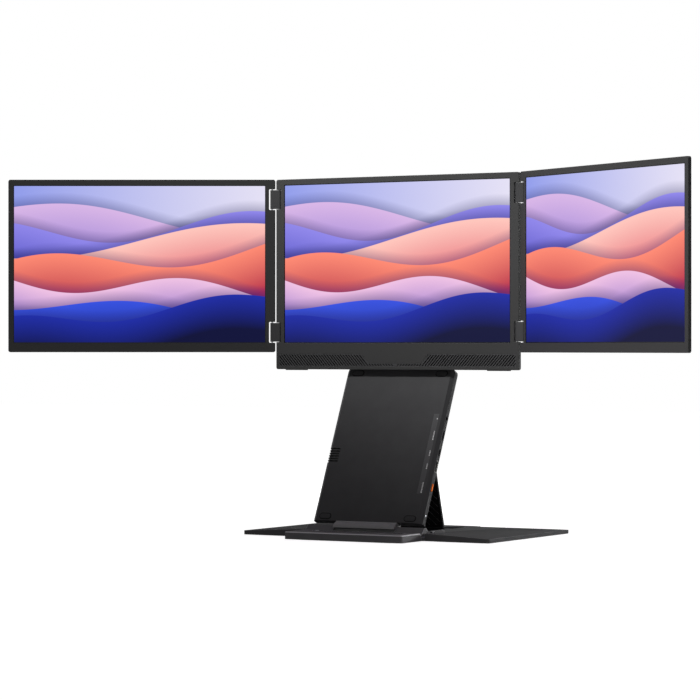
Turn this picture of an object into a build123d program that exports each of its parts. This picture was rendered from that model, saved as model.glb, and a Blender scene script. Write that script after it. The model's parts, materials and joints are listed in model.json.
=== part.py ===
from build123d import *
import os
from math import cos, radians, sin, tan

os.makedirs("parts", exist_ok=True)

# A triple-display extender: a centre screen with a screen hinged to each side of it, held up by a
# leaning column with a folding strut, on a base whose two wings fold up.
# +X points to the user's right, +Y away from the user and +Z up. The origin is the middle of the
# base's footprint, on the table. Every size is in millimetres and every angle in degrees.

# ---- the three displays ----
display_width = 301.6
display_height = 188.5
display_rise = 26.328
display_margin = 2.0
glass_thickness = 1.2

# ---- screen shells ----
cover_floor = 1.0
cover_wall = 1.2
cover_chamfer = 0.8
bezel_thickness = 0.8
bezel_chamfer = 0.35
panel_corner = 2.5

# ---- centre screen ----
centre_side_bezel = 11.2
centre_top_bezel = 6.5
chin_height = 31.2
centre_thickness = 5.8
tilt_stand_off = 15.029

# ---- side screens ----
side_outer_bezel = 6.0
side_inner_bezel = 11.4
side_top_bezel = 6.7
side_bottom_bezel = 10.9
side_thickness = 5.0

# ---- links between the screens ----
link_pin_spacing = 9.2
link_radius = 2.5
link_height = 22.4
link_angle = 15.0
panel_angle = 15.0
centre_pin_inset = 3.2
side_pin_inset = 3.6
pin_radius = 1.2
pin_clearance = 0.05
centre_notch_gap = 0.4
centre_notch_corner = 0.6
side_notch_end_gap = 1.25
side_notch_back_gap = 1.45
side_notch_corner = 1.2
notch_end_distance = 23.75
bearing_length = 5.0
bearing_width = 6.0

# ---- speakers and what is in the chin ----
grille_side_margin = 3.5
grille_low = 3.5
grille_height = 14.9
grille_thickness = 0.6
grille_gap = 0.15
grille_rim = 0.9
badge_half_width = 44.2
badge_height = 10.7
slot_pitch = 3.7
slot_width = 1.9
slot_lean = 42.0
speaker_length = 80.0
speaker_height = 12.0
speaker_side_margin = 16.5
driver_board_width = 100.0
driver_board_height = 16.0
board_thickness = 1.2
foot_strip_length = 30.0
foot_strip_inset = 27.0
foot_strip_height = 0.9
foot_strip_depth = 3.4

# ---- column ----
lean_angle = 25.0
hinge_set_back = 56.0
hinge_z = 10.0
column_half_width = 71.8
column_low = 8.6
column_high = 203.0
column_thickness = 10.0
column_head_corner = 6.0
column_foot_corner = 2.5
column_floor = 1.0
column_wall = 1.6
edge_chamfer_width = 4.1
edge_chamfer_depth = 3.5

# ---- strut ----
strut_half_width = 32.0
strut_thickness = 3.0
strut_angle = 16.4
strut_pivot_inset = 22.5
strut_foot_length = 5.0
strut_gap = 0.35
strut_side_gap = 0.6
strut_pin_radius = 1.0
strut_groove_pitch = 9.4
strut_groove_width = 1.2
strut_groove_depth = 0.4
strut_groove_margin = 3.4

# ---- base ----
base_length = 254.0
rubber_height = 0.6
plate_half_width = 80.0
plate_top = 5.0
bar_side_inset = 3.0
bar_depth = 46.4
bar_top = 9.3
bar_corner = 3.0
bar_chamfer = 1.0
recess_floor = 2.2
recess_side_gap = 2.0
recess_back_inset = 17.0
recess_front_gap = 9.0
ridge_side_inset = 0.3
ridge_radius = 5.0
knuckle_half_width = 40.0
knuckle_radius = 4.5
hinge_cover_radius = 9.0
hinge_cover_end = 98.0
hinge_pin_radius = 2.5
moving_gap = 0.4
trough_gap = 0.5
hinge_pin_end_cover = 2.0

# ---- wings ----
wing_width = 81.4
wing_front_gap = 1.6
wing_gap = 0.6
wing_front_outer_top = 5.3
wing_front_inner_top = 9.4
wing_hinge_z = 9.6
wing_barrel_radius = 2.0
wing_pin_radius = 1.0
wing_ear_width = 4.0
wing_ear_root = 1.0
wing_knuckle_width = 20.0
wing_foot_gap = 2.0
wing_foot_width = 5.0
wing_foot_height = 1.5
wing_foot_depth = 0.5
wing_ear_set_back = 2.0
wing_weight_thickness = 1.8

# ---- tilt hinge of the centre screen ----
tilt_rise = 4.6
tilt_height = 1.0
tilt_barrel_radius = 3.8
tilt_pin_radius = 1.8
arm_low_x = 30.0
arm_high_x = 44.0
ear_width = 6.0
bracket_thickness = 1.6
bracket_half_width = 58.0
bracket_rise = 2.96
bracket_height = 22.0

# ---- ports and controls: size of each and the gap below it, up the column from the light ----
led_along = 20.6
led_radius = 0.9
port_floor_gap = 0.1
port_depth = 12.0
port_set_back = 0.3
audio_gap = 11.3
audio_bore_radius = 1.8
audio_body_width = 8.0
hdmi_gap = 11.65
hdmi_width = 11.4
hdmi_height = 3.4
usb_c_gap = 4.5
usb_c_width = 9.3
usb_c_height = 3.3
usb_a_gap = 14.25
usb_a_width = 14.5
usb_a_height = 4.9
button_gap = 29.0
button_length = 9.6
button_width = 3.0
button_proud = 0.9
button_travel = 0.6
button_flange = 0.8
shell_thickness = 0.5
port_gap = 0.15

# ======== places worked out from the sizes above ========
base_low_y = -base_length / 2
base_high_y = base_length / 2
hinge_y = base_low_y + hinge_set_back

sin_lean = sin(radians(lean_angle))
cos_lean = cos(radians(lean_angle))
column_up = Vector(0, sin_lean, cos_lean)
column_front = Vector(0, -cos_lean, sin_lean)
column_origin = Vector(0, hinge_y, hinge_z)
column_plane = Plane(column_origin, x_dir=(1, 0, 0), z_dir=column_front)
column_face = column_thickness / 2
column_split = column_face - edge_chamfer_depth


def column_point(along, height):
    """A point at a distance along the column from its hinge and a height off its middle plane."""
    return column_origin + column_up * along + column_front * height


def column_side_plane(x):
    """Sketch plane across the column, with its first axis up the column and its second to the front."""
    return Plane(column_origin + Vector(x, 0, 0), x_dir=column_up, z_dir=(1, 0, 0))


def write(part, name):
    """Labels a finished piece and writes its file."""
    part.label = name
    export_step(part, f"parts/{name}.step")


# The ports stand in a row up the column, each a gap above the one below it.
port_height = port_floor_gap + column_floor + usb_a_height / 2 - column_face
button_along = led_along + led_radius + button_gap + button_length / 2
usb_a_along = button_along + button_length / 2 + usb_a_gap + usb_a_width / 2
usb_c_along = usb_a_along + usb_a_width / 2 + usb_c_gap + usb_c_width / 2
hdmi_along = usb_c_along + usb_c_width / 2 + hdmi_gap + hdmi_width / 2
audio_along = hdmi_along + hdmi_width / 2 + audio_gap + audio_body_width / 2
strut_pivot_along = column_high - strut_pivot_inset

# The centre screen is placed from the tilt hinge at the column's head.
tilt_along = column_high + tilt_rise
tilt_point = column_point(tilt_along, tilt_height)
display_low_z = tilt_point.Z + display_rise
centre_width = display_width + 2 * centre_side_bezel
centre_height = chin_height + display_height + centre_top_bezel
centre_low_z = display_low_z - chin_height
centre_back_y = tilt_point.Y - tilt_stand_off
centre_front_y = centre_back_y - centre_thickness
centre_plane = Plane((0, centre_front_y, centre_low_z), x_dir=(1, 0, 0), z_dir=(0, -1, 0))
grille_half_width = centre_width / 2 - grille_side_margin
speaker_centre_x = grille_half_width - speaker_side_margin - speaker_length / 2
foot_strip_centre_x = centre_width / 2 - foot_strip_inset

side_width = display_width + side_inner_bezel + side_outer_bezel
side_height = side_bottom_bezel + display_height + side_top_bezel
side_low_z = display_low_z - side_bottom_bezel
notch_heights = (side_low_z + notch_end_distance, side_low_z + side_height - notch_end_distance)

toe_in = link_angle + panel_angle
centre_pin_x = centre_width / 2 - centre_pin_inset
centre_pin_y = centre_front_y + centre_thickness / 2
side_pin_x = centre_pin_x + link_pin_spacing * cos(radians(link_angle))
side_pin_y = centre_pin_y - link_pin_spacing * sin(radians(link_angle))
bearing_reach = cover_wall + bearing_length

# Size of a hinge notch: how far it goes in, how high it is, and the radius of its corners
centre_notch = (
    centre_pin_inset + link_radius + centre_notch_gap, link_height + 2 * centre_notch_gap,
    centre_notch_corner,
)
side_notch = (
    side_pin_inset + link_radius + side_notch_back_gap, link_height + 2 * side_notch_end_gap,
    side_notch_corner,
)


# ======== screens ========
# Each screen is drawn on a plane on its front face, with the first axis across and the second up.
def side_plane(side):
    """Plane on a side screen's front face, with its origin at the lower corner by the hinge."""
    across = Vector(cos(radians(toe_in)), -side * sin(radians(toe_in)), 0)
    front = Vector(-side * sin(radians(toe_in)), -cos(radians(toe_in)), 0)
    pin = Vector(side * side_pin_x, side_pin_y, side_low_z)
    corner = pin - across * (side * side_pin_inset) + front * (side_thickness / 2)
    return Plane(corner, x_dir=across, z_dir=front)


def panel_outline(low_x, high_x, height, low_z, hinge_edges, notch, inset=0.0):
    """Outline of a screen with its hinge notches, drawn in the current sketch."""
    notch_depth, notch_height, notch_corner = notch
    with Locations(((low_x + high_x) / 2, height / 2)):
        RectangleRounded(high_x - low_x - 2 * inset, height - 2 * inset, panel_corner - inset)
    for edge_x in hinge_edges:
        for notch_z in notch_heights:
            with Locations((edge_x, notch_z - low_z)):
                RectangleRounded(
                    2 * (notch_depth + inset), notch_height + 2 * inset, notch_corner + inset,
                    mode=Mode.SUBTRACT,
                )


def cut_bores(pins, notch_height):
    """Bores for the upright hinge pins, at every notch."""
    for pin_x, pin_y in pins:
        for notch_z in notch_heights:
            with Locations((pin_x, pin_y, notch_z)):
                Cylinder(
                    pin_radius + pin_clearance, notch_height + 2 * bearing_reach, mode=Mode.SUBTRACT
                )


def make_rear_cover(plane, outline, thickness, pins):
    """Tray that forms a screen's back and sides, with the hinge pins' bores in its notch walls."""
    front_axis = Axis(plane.origin, plane.z_dir)
    with BuildPart() as cover:
        with BuildSketch(plane.offset(-thickness)):
            panel_outline(*outline)
        extrude(amount=thickness - bezel_thickness)
        back_face = cover.faces().sort_by(front_axis)[0]
        chamfer(back_face.outer_wire().edges(), length=cover_chamfer)
        with BuildSketch(plane.offset(cover_floor - thickness)):
            panel_outline(*outline, inset=cover_wall)
        extrude(amount=thickness, mode=Mode.SUBTRACT)
        cut_bores(pins, outline[-1][1])
    return cover.part


def make_bezel(plane, outline, window_centre):
    """Front frame with the window for the picture."""
    front_axis = Axis(plane.origin, plane.z_dir)
    with BuildPart() as bezel:
        with BuildSketch(plane.offset(-bezel_thickness)):
            panel_outline(*outline)
        extrude(amount=bezel_thickness)
        front_face = bezel.faces().sort_by(front_axis)[-1]
        chamfer(front_face.outer_wire().edges(), length=bezel_chamfer)
        with BuildSketch(plane.offset(-bezel_thickness)):
            with Locations(window_centre):
                Rectangle(display_width, display_height)
        extrude(amount=bezel_thickness, mode=Mode.SUBTRACT)
    return bezel.part


def make_display_layer(plane, window_centre, front_depth, thickness):
    """One flat layer of the display module, at a depth behind the screen's front face."""
    with BuildPart() as layer:
        with BuildSketch(plane.offset(-front_depth - thickness)):
            with Locations(window_centre):
                Rectangle(display_width + 2 * display_margin, display_height + 2 * display_margin)
        extrude(amount=thickness)
    return layer.part


def make_bearings(plane, outline, inward, thickness, pins):
    """Blocks above and below each notch that the hinge pins turn in."""
    low_z, hinge_edges, notch = outline[3:]
    depth = thickness - bezel_thickness - cover_floor
    reach = notch[1] / 2 + bearing_reach - bearing_length / 2
    with BuildPart() as bearings:
        with BuildSketch(plane.offset(cover_floor - thickness)):
            for edge_x, direction in zip(hinge_edges, inward):
                for notch_z in notch_heights:
                    for end in (-1, 1):
                        middle_x = edge_x + direction * (cover_wall + bearing_width / 2)
                        with Locations((middle_x, notch_z - low_z + end * reach)):
                            Rectangle(bearing_width, bearing_length)
        extrude(amount=depth)
        cut_bores(pins, notch[1])
    return bearings.part


# ---- centre screen ----
centre_outline = (
    -centre_width / 2, centre_width / 2, centre_height, centre_low_z,
    (-centre_width / 2, centre_width / 2), centre_notch,
)
centre_window = (0, chin_height + display_height / 2)
centre_pins = ((-centre_pin_x, centre_pin_y), (centre_pin_x, centre_pin_y))
centre_interior = centre_thickness - bezel_thickness - cover_floor


def grille_band(gap):
    """Band of the speaker grille less the plain badge area, drawn in the current sketch."""
    top = grille_low + grille_height
    badge_low_half = badge_half_width - badge_height * tan(radians(slot_lean)) + gap
    with Locations((0, grille_low + grille_height / 2)):
        Rectangle(2 * (grille_half_width - gap), grille_height - 2 * gap)
    with BuildLine() as badge:
        Polyline(
            (-badge_low_half, top - badge_height - gap),
            (badge_low_half, top - badge_height - gap),
            (badge_half_width + gap, top),
            (-badge_half_width - gap, top),
            close=True,
        )
    make_face(badge.edges(), mode=Mode.SUBTRACT)


centre_frame = make_bezel(centre_plane, centre_outline, centre_window)
with BuildPart() as centre_bezel:
    add(centre_frame)
    with BuildSketch(centre_plane.offset(-bezel_thickness)):
        grille_band(0)
    extrude(amount=bezel_thickness, mode=Mode.SUBTRACT)
write(centre_bezel.part, "centre_bezel")

with BuildSketch(Plane.XY) as slot_area:
    grille_band(grille_rim)

with BuildPart() as speaker_grille:
    with BuildSketch(centre_plane.offset(-bezel_thickness)):
        grille_band(grille_gap)
    extrude(amount=grille_thickness)
    slot_shift = grille_height * tan(radians(slot_lean))
    slot_count = int(grille_half_width / slot_pitch)
    with BuildSketch(centre_plane.offset(-bezel_thickness)):
        for side in (-1, 1):
            for index in range(slot_count):
                foot_x = (index + 0.3) * slot_pitch
                with BuildLine():
                    Polyline(
                        (side * foot_x, grille_low),
                        (side * (foot_x + slot_width), grille_low),
                        (side * (foot_x + slot_width + slot_shift), grille_low + grille_height),
                        (side * (foot_x + slot_shift), grille_low + grille_height),
                        close=True,
                    )
                make_face()
        add(slot_area.sketch, mode=Mode.INTERSECT)
    extrude(amount=grille_thickness, mode=Mode.SUBTRACT)
write(speaker_grille.part, "speaker_grille")

centre_rear_cover = make_rear_cover(centre_plane, centre_outline, centre_thickness, centre_pins)
write(centre_rear_cover, "centre_rear_cover")

centre_display = make_display_layer(centre_plane, centre_window, bezel_thickness, glass_thickness)
write(centre_display, "centre_display")

centre_backlight = make_display_layer(
    centre_plane, centre_window, bezel_thickness + glass_thickness, centre_interior - glass_thickness
)
write(centre_backlight, "centre_backlight")

centre_bearings = make_bearings(centre_plane, centre_outline, (1, -1), centre_thickness, centre_pins)
write(centre_bearings, "centre_hinge_bearings")

with BuildPart() as speakers:
    with BuildSketch(centre_plane.offset(cover_floor - centre_thickness)):
        with Locations(
            (-speaker_centre_x, grille_low + grille_height / 2),
            (speaker_centre_x, grille_low + grille_height / 2),
        ):
            RectangleRounded(speaker_length, speaker_height, panel_corner)
    extrude(amount=centre_interior)
write(speakers.part, "speakers")

with BuildPart() as driver_board:
    with BuildSketch(centre_plane.offset(cover_floor - centre_thickness)):
        with Locations((0, cover_wall + display_margin + driver_board_height / 2)):
            Rectangle(driver_board_width, driver_board_height)
    extrude(amount=board_thickness)
write(driver_board.part, "display_driver_board")

with BuildPart() as foot_strips:
    with BuildSketch(Plane.XY.offset(centre_low_z - foot_strip_height)):
        with Locations(
            (-foot_strip_centre_x, centre_front_y + centre_thickness / 2),
            (foot_strip_centre_x, centre_front_y + centre_thickness / 2),
        ):
            RectangleRounded(foot_strip_length, foot_strip_depth, foot_strip_depth / 3)
    extrude(amount=foot_strip_height)
write(foot_strips.part, "screen_foot_strips")

# ---- side screens and the links that carry them ----
for side_name, side in (("left", -1), ("right", 1)):
    plane = side_plane(side)
    outline = (
        min(0, side * side_width), max(0, side * side_width), side_height, side_low_z, (0,), side_notch,
    )
    window = (
        side * (side_inner_bezel + display_width / 2),
        side_bottom_bezel + display_height / 2,
    )
    side_pins = ((side * side_pin_x, side_pin_y),)
    side_interior = side_thickness - bezel_thickness - cover_floor

    write(make_rear_cover(plane, outline, side_thickness, side_pins), f"{side_name}_rear_cover")
    write(make_bezel(plane, outline, window), f"{side_name}_bezel")
    write(
        make_display_layer(plane, window, bezel_thickness, glass_thickness), f"{side_name}_display"
    )
    write(
        make_display_layer(
            plane, window, bezel_thickness + glass_thickness, side_interior - glass_thickness
        ),
        f"{side_name}_backlight",
    )
    write(
        make_bearings(plane, outline, (side,), side_thickness, side_pins),
        f"{side_name}_hinge_bearings",
    )

    link_middle_x = side * (centre_pin_x + side_pin_x) / 2
    link_middle_y = (centre_pin_y + side_pin_y) / 2
    link_across = Vector(cos(radians(link_angle)), -side * sin(radians(link_angle)), 0)
    with BuildPart() as links:
        for notch_z in notch_heights:
            low_corner = Vector(link_middle_x, link_middle_y, notch_z - link_height / 2)
            with BuildSketch(Plane(low_corner, x_dir=link_across, z_dir=(0, 0, 1))):
                SlotCenterToCenter(link_pin_spacing, 2 * link_radius)
                with GridLocations(link_pin_spacing, 1, 2, 1):
                    Circle(pin_radius, mode=Mode.SUBTRACT)
            extrude(amount=link_height)
    write(links.part, f"{side_name}_hinge_links")

    with BuildPart() as link_pins:
        for notch_z in notch_heights:
            for pin_x, pin_y, notch in (
                (centre_pin_x, centre_pin_y, centre_notch), (side_pin_x, side_pin_y, side_notch),
            ):
                with Locations((side * pin_x, pin_y, notch_z)):
                    Cylinder(pin_radius, notch[1] + 2 * (bearing_reach - pin_clearance))
    write(link_pins.part, f"{side_name}_hinge_pins")


# ======== column ========
# The column is drawn on its middle plane: across, up along it from the hinge, and off it to the front.
def column_outline(inset=0.0):
    """Front outline of the column, drawn in the current sketch."""
    with BuildSketch(Plane.XY, mode=Mode.PRIVATE) as outline:
        with Locations((0, (column_low + column_high) / 2)):
            Rectangle(2 * (column_half_width - inset), column_high - column_low - 2 * inset)
        corner_rows = outline.vertices().group_by(Axis.Y)
        fillet(corner_rows[-1], column_head_corner - inset)
        fillet(corner_rows[0], column_foot_corner - inset)
    add(outline.sketch)


board_height = port_height + usb_a_height / 2
board_end_margin = 9.0
board_low = button_along - button_length / 2 - board_end_margin / 2
board_high = audio_along + board_end_margin
board_screw_length = 3.0
board_edge_x = column_half_width - column_wall - edge_chamfer_width / 2
boss_side_inset = 21.0
boss_x = column_half_width - boss_side_inset
boss_end_margin = 7.0
boss_low_gap = 23.0
boss_high_gap = 40.0
boss_places = (
    (-boss_x, board_low + boss_end_margin), (-boss_x, board_high - boss_end_margin),
    (boss_x, board_low + boss_low_gap), (boss_x, board_high - boss_high_gap),
)
boss_radius = 2.5
screw_radius = 1.0
screw_head_radius = 1.9
screw_head_height = 0.8
column_screw_side_inset = 7.0
column_screw_end_inset = 7.4
column_screw_x = column_half_width - column_screw_side_inset
column_screw_low = column_low + column_screw_end_inset
column_screw_high = column_high - column_screw_end_inset
column_screw_places = (
    (-column_screw_x, column_screw_low), (column_screw_x, column_screw_low),
    (-column_screw_x, column_screw_high), (column_screw_x, column_screw_high),
)
pocket_half_width = strut_half_width + strut_side_gap
strut_pivot_height = strut_thickness / 2 - column_face + 0.1
pocket_depth_height = strut_pivot_height + strut_thickness / 2 + strut_gap
pocket_high = strut_pivot_along + strut_thickness / 2 + strut_gap
pocket_wall = 1.2
strut_boss_width = 4.0
strut_pin_length = 2 * (pocket_half_width + pocket_wall + strut_boss_width)
vent_low = 83.1
vent_pitch = 3.1
vent_count = 6
vent_along = [vent_low + index * vent_pitch for index in range(vent_count)]
vent_width = 1.8
vent_length = 15.5
vent_low_height = -3.2

with BuildPart() as column_rear_shell:
    with BuildSketch(column_plane.offset(-column_face)):
        column_outline()
    extrude(amount=column_face + column_split)
    back_face = column_rear_shell.faces().sort_by(Axis(column_origin, column_front))[0]
    chamfer(back_face.outer_wire().edges(), length=column_floor / 2)
    with BuildSketch(column_plane.offset(column_floor - column_face)):
        column_outline(column_wall)
    extrude(amount=column_thickness, mode=Mode.SUBTRACT)
    # Walls of the strut's pocket, the bosses for its pin and for the mainboard
    with BuildSketch(column_plane.offset(-column_face)):
        with Locations((0, (column_low + pocket_high + pocket_wall) / 2)):
            Rectangle(2 * (pocket_half_width + pocket_wall), pocket_high + pocket_wall - column_low)
        for side in (-1, 1):
            strut_boss_x = side * (pocket_half_width + pocket_wall + strut_boss_width / 2)
            with Locations((strut_boss_x, strut_pivot_along)):
                Rectangle(strut_boss_width, 2 * strut_thickness)
    extrude(amount=column_face + pocket_depth_height + pocket_wall)
    with BuildSketch(column_plane.offset(column_floor - column_face)):
        with Locations(*boss_places):
            Circle(boss_radius)
    extrude(amount=column_face + board_height - column_floor)
    with BuildSketch(column_plane.offset(column_floor - column_face)):
        with Locations(*column_screw_places):
            Circle(boss_radius)
    extrude(amount=column_face + column_split - column_floor)
    with BuildSketch(column_plane.offset(-column_face)):
        with Locations((0, pocket_high / 2)):
            Rectangle(2 * pocket_half_width, pocket_high)
    extrude(amount=column_face + pocket_depth_height, mode=Mode.SUBTRACT)
    with Locations(column_point(strut_pivot_along, strut_pivot_height)):
        Cylinder(
            strut_pin_radius + pin_clearance, strut_pin_length + 1, rotation=(0, 90, 0), mode=Mode.SUBTRACT
        )
    # Screw holes
    with BuildSketch(column_plane.offset(-column_face)):
        with Locations(*column_screw_places):
            Circle(screw_radius)
    extrude(amount=column_face + column_split, mode=Mode.SUBTRACT)
    with BuildSketch(column_plane.offset(-column_face)):
        with Locations(*column_screw_places):
            Circle(screw_head_radius)
    extrude(amount=screw_head_height, mode=Mode.SUBTRACT)
    with BuildSketch(column_plane.offset(board_height - board_screw_length)):
        with Locations(*boss_places):
            Circle(screw_radius)
    extrude(amount=board_screw_length, mode=Mode.SUBTRACT)
    # Openings of the ports, the button and the light, in the right side wall
    wall_plane = Plane(
        column_origin + Vector(column_half_width - column_wall, 0, 0), x_dir=column_up, z_dir=(1, 0, 0)
    )
    with BuildSketch(wall_plane):
        with Locations((hdmi_along, port_height)):
            Rectangle(hdmi_width + 2 * port_gap, hdmi_height + 2 * port_gap)
        with Locations((usb_c_along, port_height)):
            SlotOverall(usb_c_width + 2 * port_gap, usb_c_height + 2 * port_gap)
        with Locations((usb_a_along, port_height)):
            Rectangle(usb_a_width + 2 * port_gap, usb_a_height + 2 * port_gap)
        with Locations((audio_along, port_height)):
            Circle(usb_a_height / 2 + port_gap)
        with Locations((button_along, port_height)):
            SlotOverall(button_length + 2 * moving_gap, button_width + 2 * moving_gap)
        with Locations((led_along, port_height)):
            Circle(led_radius)
    extrude(amount=column_wall, mode=Mode.SUBTRACT)
    # Vent slots in the left side wall
    vent_plane = Plane(column_origin - Vector(column_half_width, 0, 0), x_dir=column_up, z_dir=(1, 0, 0))
    with BuildSketch(vent_plane):
        for along in vent_along:
            with Locations((along, (vent_low_height + column_split) / 2)):
                Rectangle(vent_width, column_split - vent_low_height)
    extrude(amount=column_wall, mode=Mode.SUBTRACT)
write(column_rear_shell.part, "column_rear_shell")

label_width = 6.6
label_inset = 7.6
label_overrun = 3.5
label_high_x = column_half_width - label_inset
label_low_x = label_high_x - label_width
label_low = button_along - button_length / 2 - 1.5 * label_overrun
label_high = audio_along + label_overrun
label_thickness = 0.3
bumper_length = 14.0
bumper_width = 6.0
bumper_thickness = 1.1
bumper_proud = 0.6
bumper_side_inset = 16.0
bumper_low_inset = 5.4
bumper_high_inset = 7.3
bumper_x = column_half_width - bumper_side_inset
bumper_low = column_low + bumper_low_inset
bumper_high = column_high - bumper_high_inset
bumper_places = (
    (-bumper_x, bumper_low), (bumper_x, bumper_low), (-bumper_x, bumper_high), (bumper_x, bumper_high),
)
cover_inner_x = column_half_width - column_wall

with BuildPart() as column_front_cover:
    end_plane = Plane(column_point(column_low, 0), x_dir=(-1, 0, 0), z_dir=column_up)
    with BuildSketch(end_plane):
        with BuildLine():
            Polyline(
                (-column_half_width, column_split),
                (column_half_width, column_split),
                (column_half_width - edge_chamfer_width, column_face),
                (edge_chamfer_width - column_half_width, column_face),
                close=True,
            )
        make_face()
    extrude(amount=column_high - column_low)
    with BuildSketch(column_plane.offset(column_split)):
        column_outline()
    extrude(amount=edge_chamfer_depth, mode=Mode.INTERSECT)
    top_front_edge = column_front_cover.edges().filter_by(Axis.X).sort_by(Axis.Z)[-1]
    chamfer(top_front_edge, length=0.6)
    inner_plane = Plane(
        column_point(column_low + column_wall, 0), x_dir=(-1, 0, 0), z_dir=column_up
    )
    with BuildSketch(inner_plane):
        with BuildLine():
            Polyline(
                (-cover_inner_x, column_split),
                (cover_inner_x, column_split),
                (cover_inner_x - edge_chamfer_width, column_face - column_floor),
                (edge_chamfer_width - cover_inner_x, column_face - column_floor),
                close=True,
            )
        make_face()
    extrude(amount=column_high - column_low - 2 * column_wall, mode=Mode.SUBTRACT)
    with BuildSketch(column_plane.offset(column_split)):
        with Locations(*column_screw_places):
            Circle(boss_radius)
    extrude(amount=edge_chamfer_depth - column_floor / 2)
    with BuildSketch(column_plane.offset(column_split)):
        with Locations(*column_screw_places):
            Circle(screw_radius)
    extrude(amount=edge_chamfer_depth - column_floor, mode=Mode.SUBTRACT)
    with BuildSketch(column_plane.offset(column_face - label_thickness)):
        with Locations(((label_low_x + label_high_x) / 2, (label_low + label_high) / 2)):
            Rectangle(label_high_x - label_low_x, label_high - label_low)
    extrude(amount=label_thickness, mode=Mode.SUBTRACT)
    with BuildSketch(column_plane.offset(column_face + bumper_proud - bumper_thickness)):
        with Locations(*bumper_places):
            SlotOverall(bumper_length, bumper_width)
    extrude(amount=bumper_thickness, mode=Mode.SUBTRACT)
    with BuildSketch(column_plane.offset(column_split)):
        for along in vent_along:
            with Locations((vent_length / 2 - column_half_width, along)):
                Rectangle(vent_length, vent_width)
    extrude(amount=edge_chamfer_depth, mode=Mode.SUBTRACT)
write(column_front_cover.part, "column_front_cover")

with BuildPart() as label_strip:
    with BuildSketch(column_plane.offset(column_face - label_thickness)):
        with Locations(((label_low_x + label_high_x) / 2, (label_low + label_high) / 2)):
            Rectangle(label_high_x - label_low_x, label_high - label_low)
    extrude(amount=label_thickness)
write(label_strip.part, "port_label_strip")

with BuildPart() as bumpers:
    with BuildSketch(column_plane.offset(column_face + bumper_proud - bumper_thickness)):
        with Locations(*bumper_places):
            SlotOverall(bumper_length, bumper_width)
    extrude(amount=bumper_thickness)
write(bumpers.part, "column_bumpers")

with BuildPart() as column_screws:
    with BuildSketch(column_plane.offset(-column_face)):
        with Locations(*column_screw_places):
            Circle(screw_head_radius)
    extrude(amount=screw_head_height)
    with BuildSketch(column_plane.offset(screw_head_height - column_face)):
        with Locations(*column_screw_places):
            Circle(screw_radius)
    extrude(amount=column_face + column_split + edge_chamfer_depth - column_floor - screw_head_height)
write(column_screws.part, "column_screws")

# Knuckle at the column's foot: it turns on the hinge pin and carries the round hinge cover in front
with BuildPart() as column_knuckle:
    with BuildSketch(column_side_plane(-knuckle_half_width)):
        Circle(knuckle_radius)
        with Locations((column_low / 2, (column_face - knuckle_radius) / 2)):
            Rectangle(column_low, column_face + knuckle_radius)
        with BuildLine():
            cover_arc = CenterArc((0, 0), hinge_cover_radius, lean_angle, hinge_cover_end - lean_angle)
            Polyline(cover_arc @ 1, (0, 0), (column_low, 0), (column_low, column_face), cover_arc @ 0)
        make_face()
    extrude(amount=2 * knuckle_half_width)
    with BuildSketch(column_side_plane(-pocket_half_width - pocket_wall)):
        with Locations((column_low / 2, -column_thickness / 2 + pocket_depth_height)):
            Rectangle(2 * column_thickness, column_thickness)
    extrude(amount=2 * (pocket_half_width + pocket_wall), mode=Mode.SUBTRACT)
    with Locations(column_origin):
        Cylinder(
            hinge_pin_radius + pin_clearance, 2 * knuckle_half_width, rotation=(0, 90, 0),
            mode=Mode.SUBTRACT,
        )
write(column_knuckle.part, "column_knuckle")

with BuildPart() as mainboard:
    with BuildSketch(column_plane.offset(board_height)):
        with Locations((0, (board_low + board_high) / 2)):
            Rectangle(2 * board_edge_x, board_high - board_low)
        with Locations(*boss_places):
            Circle(screw_radius, mode=Mode.SUBTRACT)
    extrude(amount=board_thickness)
write(mainboard.part, "mainboard")

with BuildPart() as board_screws:
    with BuildSketch(column_plane.offset(board_height - board_screw_length)):
        with Locations(*boss_places):
            Circle(screw_radius)
    extrude(amount=board_screw_length + board_thickness)
    with BuildSketch(column_plane.offset(board_height + board_thickness)):
        with Locations(*boss_places):
            Circle(screw_head_radius)
    extrude(amount=screw_head_height)
write(board_screws.part, "mainboard_screws")

# ---- ports: each is a metal or plastic shell that stands on the mainboard ----
mouth_x = column_half_width - port_set_back
port_back_wall = 1.0
port_back_plane = Plane(
    column_origin + Vector(mouth_x - port_depth, 0, 0), x_dir=column_up, z_dir=(1, 0, 0)
)
tongue_plane = Plane(
    column_origin + Vector(mouth_x - port_depth + port_back_wall, 0, 0), x_dir=column_up, z_dir=(1, 0, 0)
)


def leg_rectangle(along, width):
    """Leg that joins a low port to the mainboard, drawn in the current sketch."""
    with Locations((along, (port_height + board_height) / 2)):
        Rectangle(width, board_height - port_height)


leg_depth = port_depth - column_wall - port_gap

with BuildPart() as usb_a_port:
    with BuildSketch(port_back_plane):
        with Locations((usb_a_along, port_height)):
            Rectangle(usb_a_width, usb_a_height)
    extrude(amount=port_depth)
    with BuildSketch(tongue_plane):
        with Locations((usb_a_along, port_height)):
            Rectangle(usb_a_width - 2 * shell_thickness, usb_a_height - 2 * shell_thickness)
    extrude(amount=port_depth, mode=Mode.SUBTRACT)
    with BuildSketch(tongue_plane):
        with Locations((usb_a_along, port_height + usb_a_height / 4)):
            Rectangle(usb_a_width - 4 * shell_thickness, usb_a_height / 4)
    extrude(amount=port_depth - 3)
write(usb_a_port.part, "usb_a_port")

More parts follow.
